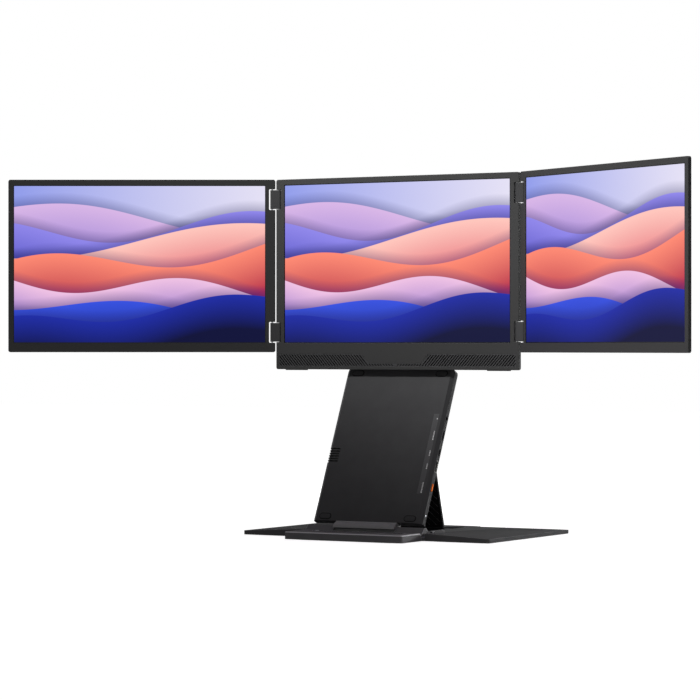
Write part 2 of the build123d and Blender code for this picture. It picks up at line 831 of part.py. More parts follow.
with BuildPart() as usb_c_port:
    with BuildSketch(port_back_plane):
        leg_rectangle(usb_c_along, usb_c_width / 2)
    extrude(amount=leg_depth - port_set_back)
    with BuildSketch(port_back_plane):
        with Locations((usb_c_along, port_height)):
            SlotOverall(usb_c_width, usb_c_height)
    extrude(amount=port_depth)
    with BuildSketch(tongue_plane):
        with Locations((usb_c_along, port_height)):
            SlotOverall(usb_c_width - 2 * shell_thickness, usb_c_height - 2 * shell_thickness)
    extrude(amount=port_depth, mode=Mode.SUBTRACT)
    with BuildSketch(tongue_plane):
        with Locations((usb_c_along, port_height)):
            Rectangle(usb_c_width - 6 * shell_thickness, 1.5 * shell_thickness)
    extrude(amount=port_depth - 2)
write(usb_c_port.part, "usb_c_port")

with BuildPart() as hdmi_port:
    with BuildSketch(port_back_plane):
        leg_rectangle(hdmi_along, hdmi_width / 2)
    extrude(amount=leg_depth - port_set_back)
    with BuildSketch(port_back_plane):
        with Locations((hdmi_along, port_height)):
            Rectangle(hdmi_width, hdmi_height)
    extrude(amount=port_depth)
    with BuildSketch(tongue_plane):
        with Locations((hdmi_along, port_height)):
            Rectangle(hdmi_width - 2 * shell_thickness, hdmi_height - 2 * shell_thickness)
    extrude(amount=port_depth, mode=Mode.SUBTRACT)
    with BuildSketch(tongue_plane):
        with Locations((hdmi_along, port_height)):
            Rectangle(hdmi_width - 6 * shell_thickness, 1.5 * shell_thickness)
    extrude(amount=port_depth - 2)
write(hdmi_port.part, "mini_video_port")

with BuildPart() as audio_port:
    with BuildSketch(port_back_plane):
        with Locations((audio_along, port_height)):
            Rectangle(audio_body_width, usb_a_height)
    extrude(amount=port_depth - column_wall - port_set_back)
    with BuildSketch(port_back_plane):
        with Locations((audio_along, port_height)):
            Circle(usb_a_height / 2)
    extrude(amount=port_depth)
    with BuildSketch(tongue_plane):
        with Locations((audio_along, port_height)):
            Circle(audio_bore_radius)
    extrude(amount=port_depth, mode=Mode.SUBTRACT)
write(audio_port.part, "audio_port")

with BuildPart() as light_pipe:
    with BuildSketch(wall_plane):
        with Locations((led_along, port_height)):
            Circle(led_radius)
    extrude(amount=column_wall)
write(light_pipe.part, "status_light_pipe")

# Side button: a cap that comes through the wall, with a flange behind it that keeps it in
button_inner_plane = Plane(
    column_origin + Vector(cover_inner_x - port_gap - button_flange, 0, 0),
    x_dir=column_up, z_dir=(1, 0, 0),
)
with BuildPart() as side_button:
    with BuildSketch(button_inner_plane):
        with Locations((button_along, port_height)):
            SlotOverall(button_length, button_width)
    extrude(amount=button_flange + port_gap + column_wall + button_proud)
    cap_face = side_button.faces().sort_by(Axis.X)[-1]
    fillet(cap_face.outer_wire().edges(), radius=button_proud / 2)
    with BuildSketch(button_inner_plane):
        with Locations((button_along, port_height)):
            Rectangle(button_length + 4 * moving_gap, button_width + 4 * moving_gap)
    extrude(amount=button_flange)
write(side_button.part, "side_button")

switch_depth = 5.0
switch_plane = button_inner_plane.offset(-button_travel - moving_gap - switch_depth)
with BuildPart() as button_switch:
    with BuildSketch(switch_plane):
        with Locations((button_along, (port_height - button_width / 2 + board_height) / 2)):
            Rectangle(button_length / 2, board_height - port_height + button_width / 2)
    extrude(amount=switch_depth)
write(button_switch.part, "button_switch")

# ======== tilt hinge between the column and the centre screen ========
flange_thickness = 1.4

with BuildPart() as hinge_arms:
    for low_x in (-arm_high_x, arm_low_x):
        with BuildSketch(column_side_plane(low_x)):
            with Locations((tilt_along, tilt_height)):
                Circle(tilt_barrel_radius)
            with Locations((column_high + flange_thickness / 2, 0)):
                Rectangle(flange_thickness, column_thickness - 2)
            make_hull()
        extrude(amount=arm_high_x - arm_low_x)
    with Locations(tilt_point):
        Cylinder(tilt_pin_radius, 3 * arm_high_x, rotation=(0, 90, 0), mode=Mode.SUBTRACT)
write(hinge_arms.part, "column_hinge_arms")

ear_low_x = arm_high_x + moving_gap
pin_reach = ear_low_x + ear_width - arm_low_x
with BuildPart() as tilt_pins:
    for side in (-1, 1):
        with Locations((side * (arm_low_x + pin_reach / 2), tilt_point.Y, tilt_point.Z)):
            Cylinder(tilt_pin_radius, pin_reach, rotation=(0, 90, 0))
write(tilt_pins.part, "tilt_hinge_pins")

bracket_corner = 3.0
bracket_screw_x = 26.0
bracket_screw_z = 11.0
bracket_low_z = tilt_point.Z + bracket_rise
bracket_high_z = bracket_low_z + bracket_height
bracket_middle_z = (bracket_low_z + bracket_high_z) / 2
bracket_back_y = centre_back_y + bracket_thickness
ear_root_low_z = bracket_low_z + 2.0
ear_root_high_z = bracket_high_z - 4.0
bracket_plane = Plane((0, bracket_back_y, bracket_middle_z), x_dir=(1, 0, 0), z_dir=(0, -1, 0))

with BuildPart() as tilt_bracket:
    with BuildSketch(bracket_plane):
        RectangleRounded(2 * bracket_half_width, bracket_high_z - bracket_low_z, bracket_corner)
    extrude(amount=bracket_thickness)
    for low_x in (-ear_low_x - ear_width, ear_low_x):
        with BuildSketch(Plane.YZ.offset(low_x)):
            with Locations((tilt_point.Y, tilt_point.Z)):
                Circle(tilt_barrel_radius)
            with Locations((bracket_back_y, (ear_root_low_z + ear_root_high_z) / 2)):
                Rectangle(bracket_thickness, ear_root_high_z - ear_root_low_z)
            make_hull()
        extrude(amount=ear_width)
    with Locations(tilt_point):
        Cylinder(
            tilt_pin_radius + pin_clearance, 3 * arm_high_x, rotation=(0, 90, 0), mode=Mode.SUBTRACT
        )
write(tilt_bracket.part, "screen_tilt_bracket")

with BuildPart() as bracket_screws:
    with BuildSketch(bracket_plane.offset(-screw_head_height)):
        with GridLocations(bracket_screw_x, bracket_screw_z, 3, 2):
            Circle(screw_head_radius)
    extrude(amount=screw_head_height)
write(bracket_screws.part, "tilt_bracket_screws")

# ======== strut ========
sin_strut = sin(radians(strut_angle))
cos_strut = cos(radians(strut_angle))
strut_pivot = column_point(strut_pivot_along, strut_pivot_height)
strut_round = strut_thickness / 2
foot_centre_z = recess_floor + moving_gap + strut_round
strut_length = strut_round + (strut_pivot.Z - foot_centre_z) / cos_strut
strut_front = Vector(0, -cos_strut, -sin_strut)
strut_plane = Plane(strut_pivot, x_dir=(1, 0, 0), z_dir=strut_front)
strut_up = Vector(0, -sin_strut, cos_strut)


def strut_side_plane(x):
    """Sketch plane across the strut, with its first axis up the strut and its second to the front."""
    return Plane(strut_pivot + Vector(x, 0, 0), x_dir=strut_up, z_dir=(1, 0, 0))


plate_low = strut_foot_length - strut_length
groove_half_width = strut_half_width - strut_groove_margin
groove_low_y = plate_low + strut_groove_margin
groove_high_y = -strut_groove_margin - strut_thickness
groove_rise = 2 * groove_half_width
groove_count = int((groove_high_y - groove_low_y + groove_rise) / strut_groove_pitch)
with BuildPart() as strut_plate:
    with BuildSketch(strut_side_plane(-strut_half_width)):
        Circle(strut_round)
        with Locations((plate_low / 2, 0)):
            Rectangle(-plate_low, strut_thickness)
        Circle(strut_pin_radius, mode=Mode.SUBTRACT)
    extrude(amount=2 * strut_half_width)
    with BuildSketch(strut_plane.offset(strut_round - strut_groove_depth)):
        for index in range(groove_count):
            low_y = groove_low_y - groove_rise + (index + 0.5) * strut_groove_pitch
            with BuildLine():
                Polyline(
                    (groove_half_width, low_y),
                    (groove_half_width, low_y + strut_groove_width),
                    (-groove_half_width, low_y + strut_groove_width + groove_rise),
                    (-groove_half_width, low_y + groove_rise),
                    close=True,
                )
            make_face()
        with Locations((0, (groove_low_y + groove_high_y) / 2)):
            Rectangle(2 * groove_half_width, groove_high_y - groove_low_y, mode=Mode.INTERSECT)
    extrude(amount=strut_groove_depth, mode=Mode.SUBTRACT)
write(strut_plate.part, "strut_plate")

with BuildPart() as strut_foot:
    with BuildSketch(strut_side_plane(-strut_half_width)):
        with Locations((strut_round - strut_length, 0)):
            Circle(strut_round)
        with Locations((plate_low - (strut_foot_length - strut_round) / 2, 0)):
            Rectangle(strut_foot_length - strut_round, strut_thickness)
    extrude(amount=2 * strut_half_width)
write(strut_foot.part, "strut_foot")

with BuildPart() as strut_pin:
    with Locations(strut_pivot):
        Cylinder(strut_pin_radius, strut_pin_length, rotation=(0, 90, 0))
write(strut_pin.part, "strut_pin")

# ======== base ========
bar_half_width = plate_half_width - bar_side_inset
ridge_half_width = bar_half_width - ridge_side_inset
ridge_foot_height = 2.0
hinge_pin_length = 2 * (ridge_half_width - hinge_pin_end_cover)
recess_half_width = strut_half_width + recess_side_gap
recess_low_y = hinge_y + recess_front_gap
recess_high_y = base_high_y - recess_back_inset
bar_high_y = base_low_y + bar_depth
bar_middle_y = (base_low_y + bar_high_y) / 2
ridge_low_y = bar_high_y
ridge_high_y = hinge_y + ridge_radius
trough_half_width = knuckle_half_width + moving_gap
trough_floor = hinge_z - knuckle_radius - trough_gap
plate_corner = 4.0
lip_overrun = 10.0
lip_half_width = recess_half_width + lip_overrun
lip_depth = 8.0
lip_height = 0.5
bar_cover_margin = 3.2
bar_cover_half_width = bar_half_width - bar_cover_margin
bar_cover_depth = bar_depth - 2 * bar_cover_margin
bar_cover_thickness = 1.2
ballast_margin = 4.0
ballast_half_width = bar_cover_half_width - 2 * ballast_margin
ballast_depth = bar_cover_depth - 2 * ballast_margin
ballast_top = 7.0
base_screw_inset = 3.0
base_screw_x = bar_cover_half_width - base_screw_inset
base_screw_spacing = bar_cover_depth - 2 * base_screw_inset
base_screw_length = 4.0
groove_low_x = -59.0
groove_high_x = 60.0
groove_width = 12.0
groove_set_back = 36.0
groove_middle_y = base_low_y + groove_set_back
groove_depth = 0.8
groove_strip_thickness = 0.5


def wing_hinge_ear(side, length, start_y, foot_low_x, foot_high_x, foot_low_z, foot_high_z, hull):
    """One knuckle of a wing hinge: a barrel on the wing's axis and the foot that carries it."""
    with BuildPart(mode=Mode.PRIVATE) as ear:
        with BuildSketch(Plane.XZ.offset(-start_y - length)):
            with Locations((side * wing_hinge_x, wing_hinge_z)):
                Circle(wing_barrel_radius)
            with Locations((side * (foot_low_x + foot_high_x) / 2, (foot_low_z + foot_high_z) / 2)):
                Rectangle(foot_high_x - foot_low_x, foot_high_z - foot_low_z)
            if hull:
                make_hull()
        extrude(amount=length)
    return ear.part


wing_hinge_x = plate_half_width + wing_gap / 2
station_length = wing_knuckle_width + 2 * wing_ear_width + 2 * moving_gap
station_y = ridge_high_y + wing_ear_set_back + station_length / 2
ear_places = (station_y - station_length / 2, station_y + station_length / 2 - wing_ear_width)
base_ears = [
    wing_hinge_ear(
        side, wing_ear_width, start_y, wing_hinge_x - wing_barrel_radius, plate_half_width,
        plate_top - wing_ear_root, wing_hinge_z, False,
    )
    for side in (-1, 1)
    for start_y in ear_places
]

with BuildPart() as base_housing:
    with BuildSketch(Plane.XY.offset(rubber_height)):
        with Locations((0, (bar_high_y + base_high_y) / 2)):
            RectangleRounded(2 * plate_half_width, base_high_y - bar_high_y, plate_corner)
    extrude(amount=plate_top - rubber_height)
    with BuildSketch(Plane.XY.offset(rubber_height)):
        with Locations((0, bar_middle_y)):
            RectangleRounded(2 * bar_half_width, bar_depth, bar_corner)
    extrude(amount=bar_top - rubber_height)
    top_edges = base_housing.faces().sort_by(Axis.Z)[-1].outer_wire().edges()
    chamfer(top_edges, length=bar_chamfer)
    with BuildSketch(Plane.XY.offset(rubber_height)):
        with Locations((0, (ridge_low_y + ridge_high_y) / 2 - bar_corner)):
            Rectangle(2 * ridge_half_width, ridge_high_y - ridge_low_y + 2 * bar_corner)
    extrude(amount=plate_top - rubber_height)
    # Ridge that houses the column's hinge pin
    with BuildSketch(Plane.YZ.offset(-ridge_half_width)):
        with Locations((hinge_y, hinge_z)):
            Circle(ridge_radius)
        with Locations(((ridge_low_y + ridge_high_y) / 2 - bar_chamfer, plate_top)):
            Rectangle(ridge_high_y - ridge_low_y + 2 * bar_chamfer, ridge_foot_height)
        make_hull()
    extrude(amount=2 * ridge_half_width)
    with BuildSketch(Plane.YZ.offset(-trough_half_width)):
        with Locations(((ridge_low_y + recess_low_y) / 2 - moving_gap, trough_floor + column_thickness)):
            Rectangle(recess_low_y - ridge_low_y + 2 * moving_gap, 2 * column_thickness)
    extrude(amount=2 * trough_half_width, mode=Mode.SUBTRACT)
    # Lip at the back edge and the recess that the strut stands in
    with BuildSketch(Plane.XY.offset(plate_top)):
        with Locations((0, base_high_y - lip_depth / 2)):
            Rectangle(2 * lip_half_width, lip_depth)
    extrude(amount=lip_height)
    with BuildSketch(Plane.XY.offset(recess_floor)):
        with Locations((0, (recess_low_y + recess_high_y) / 2)):
            Rectangle(2 * recess_half_width, recess_high_y - recess_low_y)
    extrude(amount=plate_top, mode=Mode.SUBTRACT)
    # Groove for the strip on top of the bar, then the room for the ballast and its cover below
    with BuildSketch(Plane.XY.offset(bar_top - groove_depth)):
        with Locations(((groove_low_x + groove_high_x) / 2, groove_middle_y)):
            RectangleRounded(groove_high_x - groove_low_x, groove_width, groove_width / 4)
    extrude(amount=groove_depth, mode=Mode.SUBTRACT)
    with BuildSketch(Plane.XY.offset(rubber_height)):
        with Locations((0, bar_middle_y)):
            RectangleRounded(2 * bar_cover_half_width, bar_cover_depth, bar_corner)
    extrude(amount=bar_cover_thickness, mode=Mode.SUBTRACT)
    with BuildSketch(Plane.XY.offset(rubber_height)):
        with Locations((0, bar_middle_y)):
            Rectangle(2 * ballast_half_width, ballast_depth)
    extrude(amount=ballast_top - rubber_height, mode=Mode.SUBTRACT)
    with BuildSketch(Plane.XY.offset(rubber_height)):
        with Locations((0, bar_middle_y)):
            with GridLocations(2 * base_screw_x, base_screw_spacing, 2, 2):
                Circle(screw_radius)
    extrude(amount=bar_cover_thickness + base_screw_length, mode=Mode.SUBTRACT)
    add(base_ears)
    with Locations((0, hinge_y, hinge_z)):
        Cylinder(hinge_pin_radius, hinge_pin_length, rotation=(0, 90, 0), mode=Mode.SUBTRACT)
    for side in (-1, 1):
        with Locations((side * wing_hinge_x, station_y, wing_hinge_z)):
            Cylinder(wing_pin_radius, station_length, rotation=(90, 0, 0), mode=Mode.SUBTRACT)
write(base_housing.part, "base_housing")

with BuildPart() as column_hinge_pin:
    with Locations((0, hinge_y, hinge_z)):
        Cylinder(hinge_pin_radius, hinge_pin_length, rotation=(0, 90, 0))
write(column_hinge_pin.part, "column_hinge_pin")

with BuildPart() as wing_hinge_pins:
    for side in (-1, 1):
        with Locations((side * wing_hinge_x, station_y, wing_hinge_z)):
            Cylinder(wing_pin_radius, station_length, rotation=(90, 0, 0))
write(wing_hinge_pins.part, "wing_hinge_pins")

with BuildPart() as groove_strip:
    with BuildSketch(Plane.XY.offset(bar_top - groove_depth)):
        with Locations(((groove_low_x + groove_high_x) / 2, groove_middle_y)):
            RectangleRounded(groove_high_x - groove_low_x, groove_width, groove_width / 4)
    extrude(amount=groove_strip_thickness)
write(groove_strip.part, "base_groove_strip")

with BuildPart() as ballast_bar:
    with BuildSketch(Plane.XY.offset(rubber_height + bar_cover_thickness)):
        with Locations((0, bar_middle_y)):
            Rectangle(2 * ballast_half_width, ballast_depth)
    extrude(amount=ballast_top - rubber_height - bar_cover_thickness)
write(ballast_bar.part, "ballast_bar")

with BuildPart() as ballast_cover:
    with BuildSketch(Plane.XY.offset(rubber_height)):
        with Locations((0, bar_middle_y)):
            RectangleRounded(2 * bar_cover_half_width, bar_cover_depth, bar_corner)
            with GridLocations(2 * base_screw_x, base_screw_spacing, 2, 2):
                Circle(screw_radius, mode=Mode.SUBTRACT)
    extrude(amount=bar_cover_thickness)
    with BuildSketch(Plane.XY.offset(rubber_height)):
        with Locations((0, bar_middle_y)):
            with GridLocations(2 * base_screw_x, base_screw_spacing, 2, 2):
                Circle(screw_head_radius)
    extrude(amount=screw_head_height, mode=Mode.SUBTRACT)
write(ballast_cover.part, "ballast_cover")

with BuildPart() as base_screws:
    with BuildSketch(Plane.XY.offset(rubber_height)):
        with Locations((0, bar_middle_y)):
            with GridLocations(2 * base_screw_x, base_screw_spacing, 2, 2):
                Circle(screw_head_radius)
    extrude(amount=screw_head_height)
    with BuildSketch(Plane.XY.offset(rubber_height + screw_head_height)):
        with Locations((0, bar_middle_y)):
            with GridLocations(2 * base_screw_x, base_screw_spacing, 2, 2):
                Circle(screw_radius)
    extrude(amount=bar_cover_thickness + base_screw_length - screw_head_height)
write(base_screws.part, "base_screws")

base_pad_length = 120.0
base_pad_width = 6.0
rear_pad_y = base_high_y - 10.0
front_pad_y = base_low_y + 9.0
centre_pad_length = 40.0
centre_pad_width = 16.0
with BuildPart() as base_feet:
    with BuildSketch(Plane.XY):
        with Locations((0, front_pad_y), (0, rear_pad_y)):
            RectangleRounded(base_pad_length, base_pad_width, base_pad_width / 3)
        RectangleRounded(centre_pad_length, centre_pad_width, base_pad_width / 3)
    extrude(amount=rubber_height)
write(base_feet.part, "base_feet")

# ======== wings ========
wing_inner_x = plate_half_width + wing_gap
wing_outer_x = wing_inner_x + wing_width
wing_low_y = bar_high_y + wing_front_gap
wing_corner = 3.0
wing_edge_chamfer = 0.6
weight_margin = 7.5
weight_end_margin = 19.0
wing_pad_length = 60.0
wing_pad_margin = 10.0

for side_name, side in (("left", -1), ("right", 1)):
    inner_x = side * wing_inner_x
    outer_x = side * wing_outer_x
    wing_middle_x = (inner_x + outer_x) / 2
    weight_length = base_high_y - wing_low_y - 2 * weight_end_margin
    weight_middle_y = (base_high_y + wing_low_y) / 2
    weight_width = wing_outer_x - wing_inner_x - 2 * weight_margin
    wing_knuckle = wing_hinge_ear(
        side, wing_knuckle_width, station_y - wing_knuckle_width / 2,
        wing_inner_x + wing_foot_gap, wing_inner_x + wing_foot_gap + wing_foot_width,
        plate_top - wing_foot_height - wing_foot_depth, plate_top - wing_foot_depth, True,
    )
    with BuildPart() as wing:
        with BuildSketch(Plane.XZ.offset(-wing_low_y)):
            with BuildLine():
                Polyline(
                    (inner_x, rubber_height),
                    (outer_x, rubber_height),
                    (outer_x, wing_front_outer_top),
                    (inner_x, wing_front_inner_top),
                    close=True,
                )
            make_face()
        with BuildSketch(Plane.XZ.offset(-base_high_y)):
            with BuildLine():
                Polyline(
                    (inner_x, rubber_height),
                    (outer_x, rubber_height),
                    (outer_x, plate_top),
                    (inner_x, plate_top),
                    close=True,
                )
            make_face()
        loft(ruled=True)
        upright_edges = wing.edges().filter_by(Axis.Z).group_by(Axis.X)[0 if side < 0 else -1]
        fillet(upright_edges, radius=wing_corner)
        with Locations((side * wing_hinge_x, station_y, wing_hinge_z)):
            Cylinder(
                wing_barrel_radius + moving_gap, station_length + 2 * moving_gap,
                rotation=(90, 0, 0), mode=Mode.SUBTRACT,
            )
        with BuildSketch(Plane.XY.offset(rubber_height)):
            with Locations((wing_middle_x, weight_middle_y)):
                Rectangle(weight_width, weight_length)
        extrude(amount=wing_weight_thickness, mode=Mode.SUBTRACT)
        add(wing_knuckle)
        with Locations((side * wing_hinge_x, station_y, wing_hinge_z)):
            Cylinder(
                wing_pin_radius + pin_clearance, station_length, rotation=(90, 0, 0), mode=Mode.SUBTRACT
            )
    write(wing.part, f"{side_name}_wing")

    with BuildPart() as wing_weight:
        with BuildSketch(Plane.XY.offset(rubber_height)):
            with Locations((wing_middle_x, weight_middle_y)):
                Rectangle(weight_width, weight_length)
        extrude(amount=wing_weight_thickness)
    write(wing_weight.part, f"{side_name}_wing_weight")

    with BuildPart() as wing_feet:
        with BuildSketch(Plane.XY):
            with Locations(
                (wing_middle_x, wing_low_y + wing_pad_margin),
                (wing_middle_x, base_high_y - wing_pad_margin),
            ):
                RectangleRounded(wing_pad_length, base_pad_width, base_pad_width / 3)
        extrude(amount=rubber_height)
    write(wing_feet.part, f"{side_name}_wing_feet")
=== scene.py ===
"""Looks of a three-screen laptop extender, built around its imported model."""

import json
import math

import bmesh
import bpy
from mathutils import Matrix, Vector

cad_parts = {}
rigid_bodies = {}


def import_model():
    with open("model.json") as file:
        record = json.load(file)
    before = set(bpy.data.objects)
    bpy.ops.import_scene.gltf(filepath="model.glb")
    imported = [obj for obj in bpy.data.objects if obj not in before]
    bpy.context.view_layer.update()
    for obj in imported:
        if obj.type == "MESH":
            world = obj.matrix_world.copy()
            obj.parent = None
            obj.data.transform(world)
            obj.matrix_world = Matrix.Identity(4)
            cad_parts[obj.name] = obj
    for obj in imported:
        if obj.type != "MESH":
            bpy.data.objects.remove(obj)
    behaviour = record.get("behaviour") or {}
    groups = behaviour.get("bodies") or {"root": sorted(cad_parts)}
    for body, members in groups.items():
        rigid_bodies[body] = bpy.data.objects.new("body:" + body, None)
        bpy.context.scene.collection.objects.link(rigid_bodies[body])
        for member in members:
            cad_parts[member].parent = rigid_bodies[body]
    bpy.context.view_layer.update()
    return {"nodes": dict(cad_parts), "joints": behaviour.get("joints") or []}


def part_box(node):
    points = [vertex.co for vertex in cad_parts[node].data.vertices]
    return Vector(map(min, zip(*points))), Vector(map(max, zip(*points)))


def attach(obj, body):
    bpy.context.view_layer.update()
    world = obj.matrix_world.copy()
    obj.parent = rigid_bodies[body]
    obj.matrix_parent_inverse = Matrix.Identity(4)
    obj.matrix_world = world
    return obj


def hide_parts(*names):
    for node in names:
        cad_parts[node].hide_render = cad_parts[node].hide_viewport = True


bl_info = {
    "name": "Screen Extender Looks",
    "version": (1, 1, 0),
    "blender": (4, 5, 0),
    "location": "3D View > Sidebar > Extender",
    "description": "Finishes, lit pictures, marks, screws and a studio for a screen extender",
    "category": "Object",
}

for start_object in list(bpy.data.objects):
    bpy.data.objects.remove(start_object)
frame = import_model()

MM = 0.001
RIGHT = Vector((1, 0, 0))
BACK = Vector((0, 1, 0))
UP = Vector((0, 0, 1))
SIDES = {"left": -1, "centre": 0, "right": 1}


def linear(hex_colour):
    """Linear colour of an sRGB hex value such as #2b2c2e."""
    channels = [int(hex_colour[start : start + 2], 16) / 255 for start in (1, 3, 5)]
    return tuple(c / 12.92 if c <= 0.04045 else ((c + 0.055) / 1.055) ** 2.4 for c in channels)


# ======== settings ========
class ExtenderSizes(bpy.types.PropertyGroup):
    """Sizes of the details and the angles that the screens and the column stand at."""

    toe_in: bpy.props.FloatProperty(
        name="Toe-in", description="Turn of each side screen towards the user",
        default=math.radians(30), subtype="ANGLE",
    )
    lean: bpy.props.FloatProperty(
        name="Column lean", description="Lean of the column from upright",
        default=math.radians(25), subtype="ANGLE",
    )
    display_margin: bpy.props.FloatProperty(
        name="Display margin", description="Rim of the display that the bezel covers",
        default=2 * MM, subtype="DISTANCE",
    )
    picture_border: bpy.props.FloatProperty(
        name="Picture border", description="Dark border between the bezel and the lit picture",
        default=0.9 * MM, subtype="DISTANCE",
    )
    picture_thickness: bpy.props.FloatProperty(
        name="Picture glass", description="Thickness of the matt glass over the picture",
        default=0.3 * MM, subtype="DISTANCE",
    )
    mark_height: bpy.props.FloatProperty(
        name="Mark height", description="Height of the marks printed beside the ports",
        default=1.3 * MM, subtype="DISTANCE",
    )
    mark_gap: bpy.props.FloatProperty(
        name="Mark gap", description="Gap between two marks in a row",
        default=0.55 * MM, subtype="DISTANCE",
    )
    mark_inset: bpy.props.FloatProperty(
        name="Mark inset", description="Distance of the marks' middle from the strip's outer edge",
        default=1.3 * MM, subtype="DISTANCE",
    )
    mark_drop: bpy.props.FloatProperty(
        name="Mark drop",
        description="How far down the column each row of marks stands from its port",
        default=2.6 * MM, subtype="DISTANCE",
    )
    ink_thickness: bpy.props.FloatProperty(
        name="Ink thickness", description="Thickness of the printed marks",
        default=0.06 * MM, subtype="DISTANCE",
    )
    pad_length: bpy.props.FloatProperty(
        name="Pad length", description="Length of the column's soft pads",
        default=14 * MM, subtype="DISTANCE",
    )
    pad_rim: bpy.props.FloatProperty(
        name="Pad rim", description="Width of the black rim round each soft pad",
        default=0.9 * MM, subtype="DISTANCE",
    )
    stud_radius: bpy.props.FloatProperty(
        name="Stud radius", description="Radius of the small metal stud in the bar's groove",
        default=2.2 * MM, subtype="DISTANCE",
    )
    stud_place: bpy.props.FloatVectorProperty(
        name="Stud place", description="Where the stud stands in the groove, across and along",
        default=(-54.7 * MM, -90.0 * MM), size=2, subtype="XYZ", unit="LENGTH",
    )
    cover_screw_radius: bpy.props.FloatProperty(
        name="Cover screw radius", description="Radius of the screws in the screens' backs",
        default=2.1 * MM, subtype="DISTANCE",
    )
    cover_screw_inset: bpy.props.FloatProperty(
        name="Cover screw inset", description="Distance of those screws from the cover's edges",
        default=9 * MM, subtype="DISTANCE",
    )


class ExtenderColours(bpy.types.PropertyGroup):
    """Colours of the finishes, as linear values."""

    shell: bpy.props.FloatVectorProperty(
        name="Moulded shell", description="Bezels of the three screens",
        default=linear("#262626"), subtype="COLOR",
    )
    column: bpy.props.FloatVectorProperty(
        name="Column", description="Anodised column and screen backs",
        default=linear("#434344"), subtype="COLOR",
    )
    base: bpy.props.FloatVectorProperty(
        name="Base", description="Anodised bar and plate of the base",
        default=linear("#6a6a6b"), subtype="COLOR",
    )
    # The wings are the same aluminium as the base; their darker colour is painted shade
    wings: bpy.props.FloatVectorProperty(
        name="Wings", description="Anodised wings of the base",
        default=linear("#545455"), subtype="COLOR",
    )
    accent: bpy.props.FloatVectorProperty(
        name="Button", description="The side button",
        default=linear("#f5720f"), subtype="COLOR",
    )
    ink: bpy.props.FloatVectorProperty(
        name="Ink", description="Marks printed beside the ports",
        default=linear("#c9c9c9"), subtype="COLOR",
    )


class ExtenderStudio(bpy.types.PropertyGroup):
    """Levels of the studio's light."""

    key_power: bpy.props.FloatProperty(
        name="Key", description="Power of the soft light at the upper left",
        default=3.9, unit="POWER",
    )
    side_power: bpy.props.FloatProperty(
        name="Side", description="Power of the low light that grazes the right ends",
        default=0.42, unit="POWER",
    )
    back_power: bpy.props.FloatProperty(
        name="Back", description="Power of the soft light behind the extender",
        default=11, unit="POWER",
    )
    surround: bpy.props.FloatProperty(
        name="Surround", description="Level of the even light from all round",
        default=0.22, min=0, max=1,
    )


# ======== materials ========
# Sockets of a colour Mix node by number, because the node repeats their names
MIX_FIRST = 6
MIX_SECOND = 7
MIX_RESULT = 2

# Shared by every grained surface: the uneven colour's size, how fast a bend in the surface counts as
# an edge that is painted lighter, as wear and as a painted highlight, and the upward slope of a
# chamfer with the leeway that it may differ by
CLOUD_SIZE = 20 * MM
RUB_AND_HIGHLIGHT_GAIN = 4.0
CHAMFER_SLOPE = math.sqrt(0.5)
CHAMFER_LEEWAY = 0.02

# How many times longer than wide a brush line is
BRUSH_STRETCH = 40


def add_node(tree, kind, inputs=None, **settings):
    """Adds a node, sets its fields, and sets or links its inputs."""
    node = tree.nodes.new(kind)
    for field, value in settings.items():
        setattr(node, field, value)
    for socket, value in (inputs or {}).items():
        if isinstance(value, bpy.types.NodeSocket):
            tree.links.new(value, node.inputs[socket])
        else:
            node.inputs[socket].default_value = value
    return node


def new_material(name):
    """An empty material and its node tree; one of that name is emptied and used again."""
    material = bpy.data.materials.get(name) or bpy.data.materials.new(name)
    material.use_nodes = True
    material.node_tree.nodes.clear()
    return material, material.node_tree


def close_material(material, shader):
    """Joins a shader to the material's output."""
    add_node(material.node_tree, "ShaderNodeOutputMaterial", {"Surface": shader})
    return material


def opaque(colour):
    """A colour with full alpha, as sockets take it."""
    return (*colour, 1.0)


def scaled(colour, factor):
    """A lighter or darker version of a colour, with full alpha."""
    return opaque(tuple(min(1.0, channel * factor) for channel in colour))


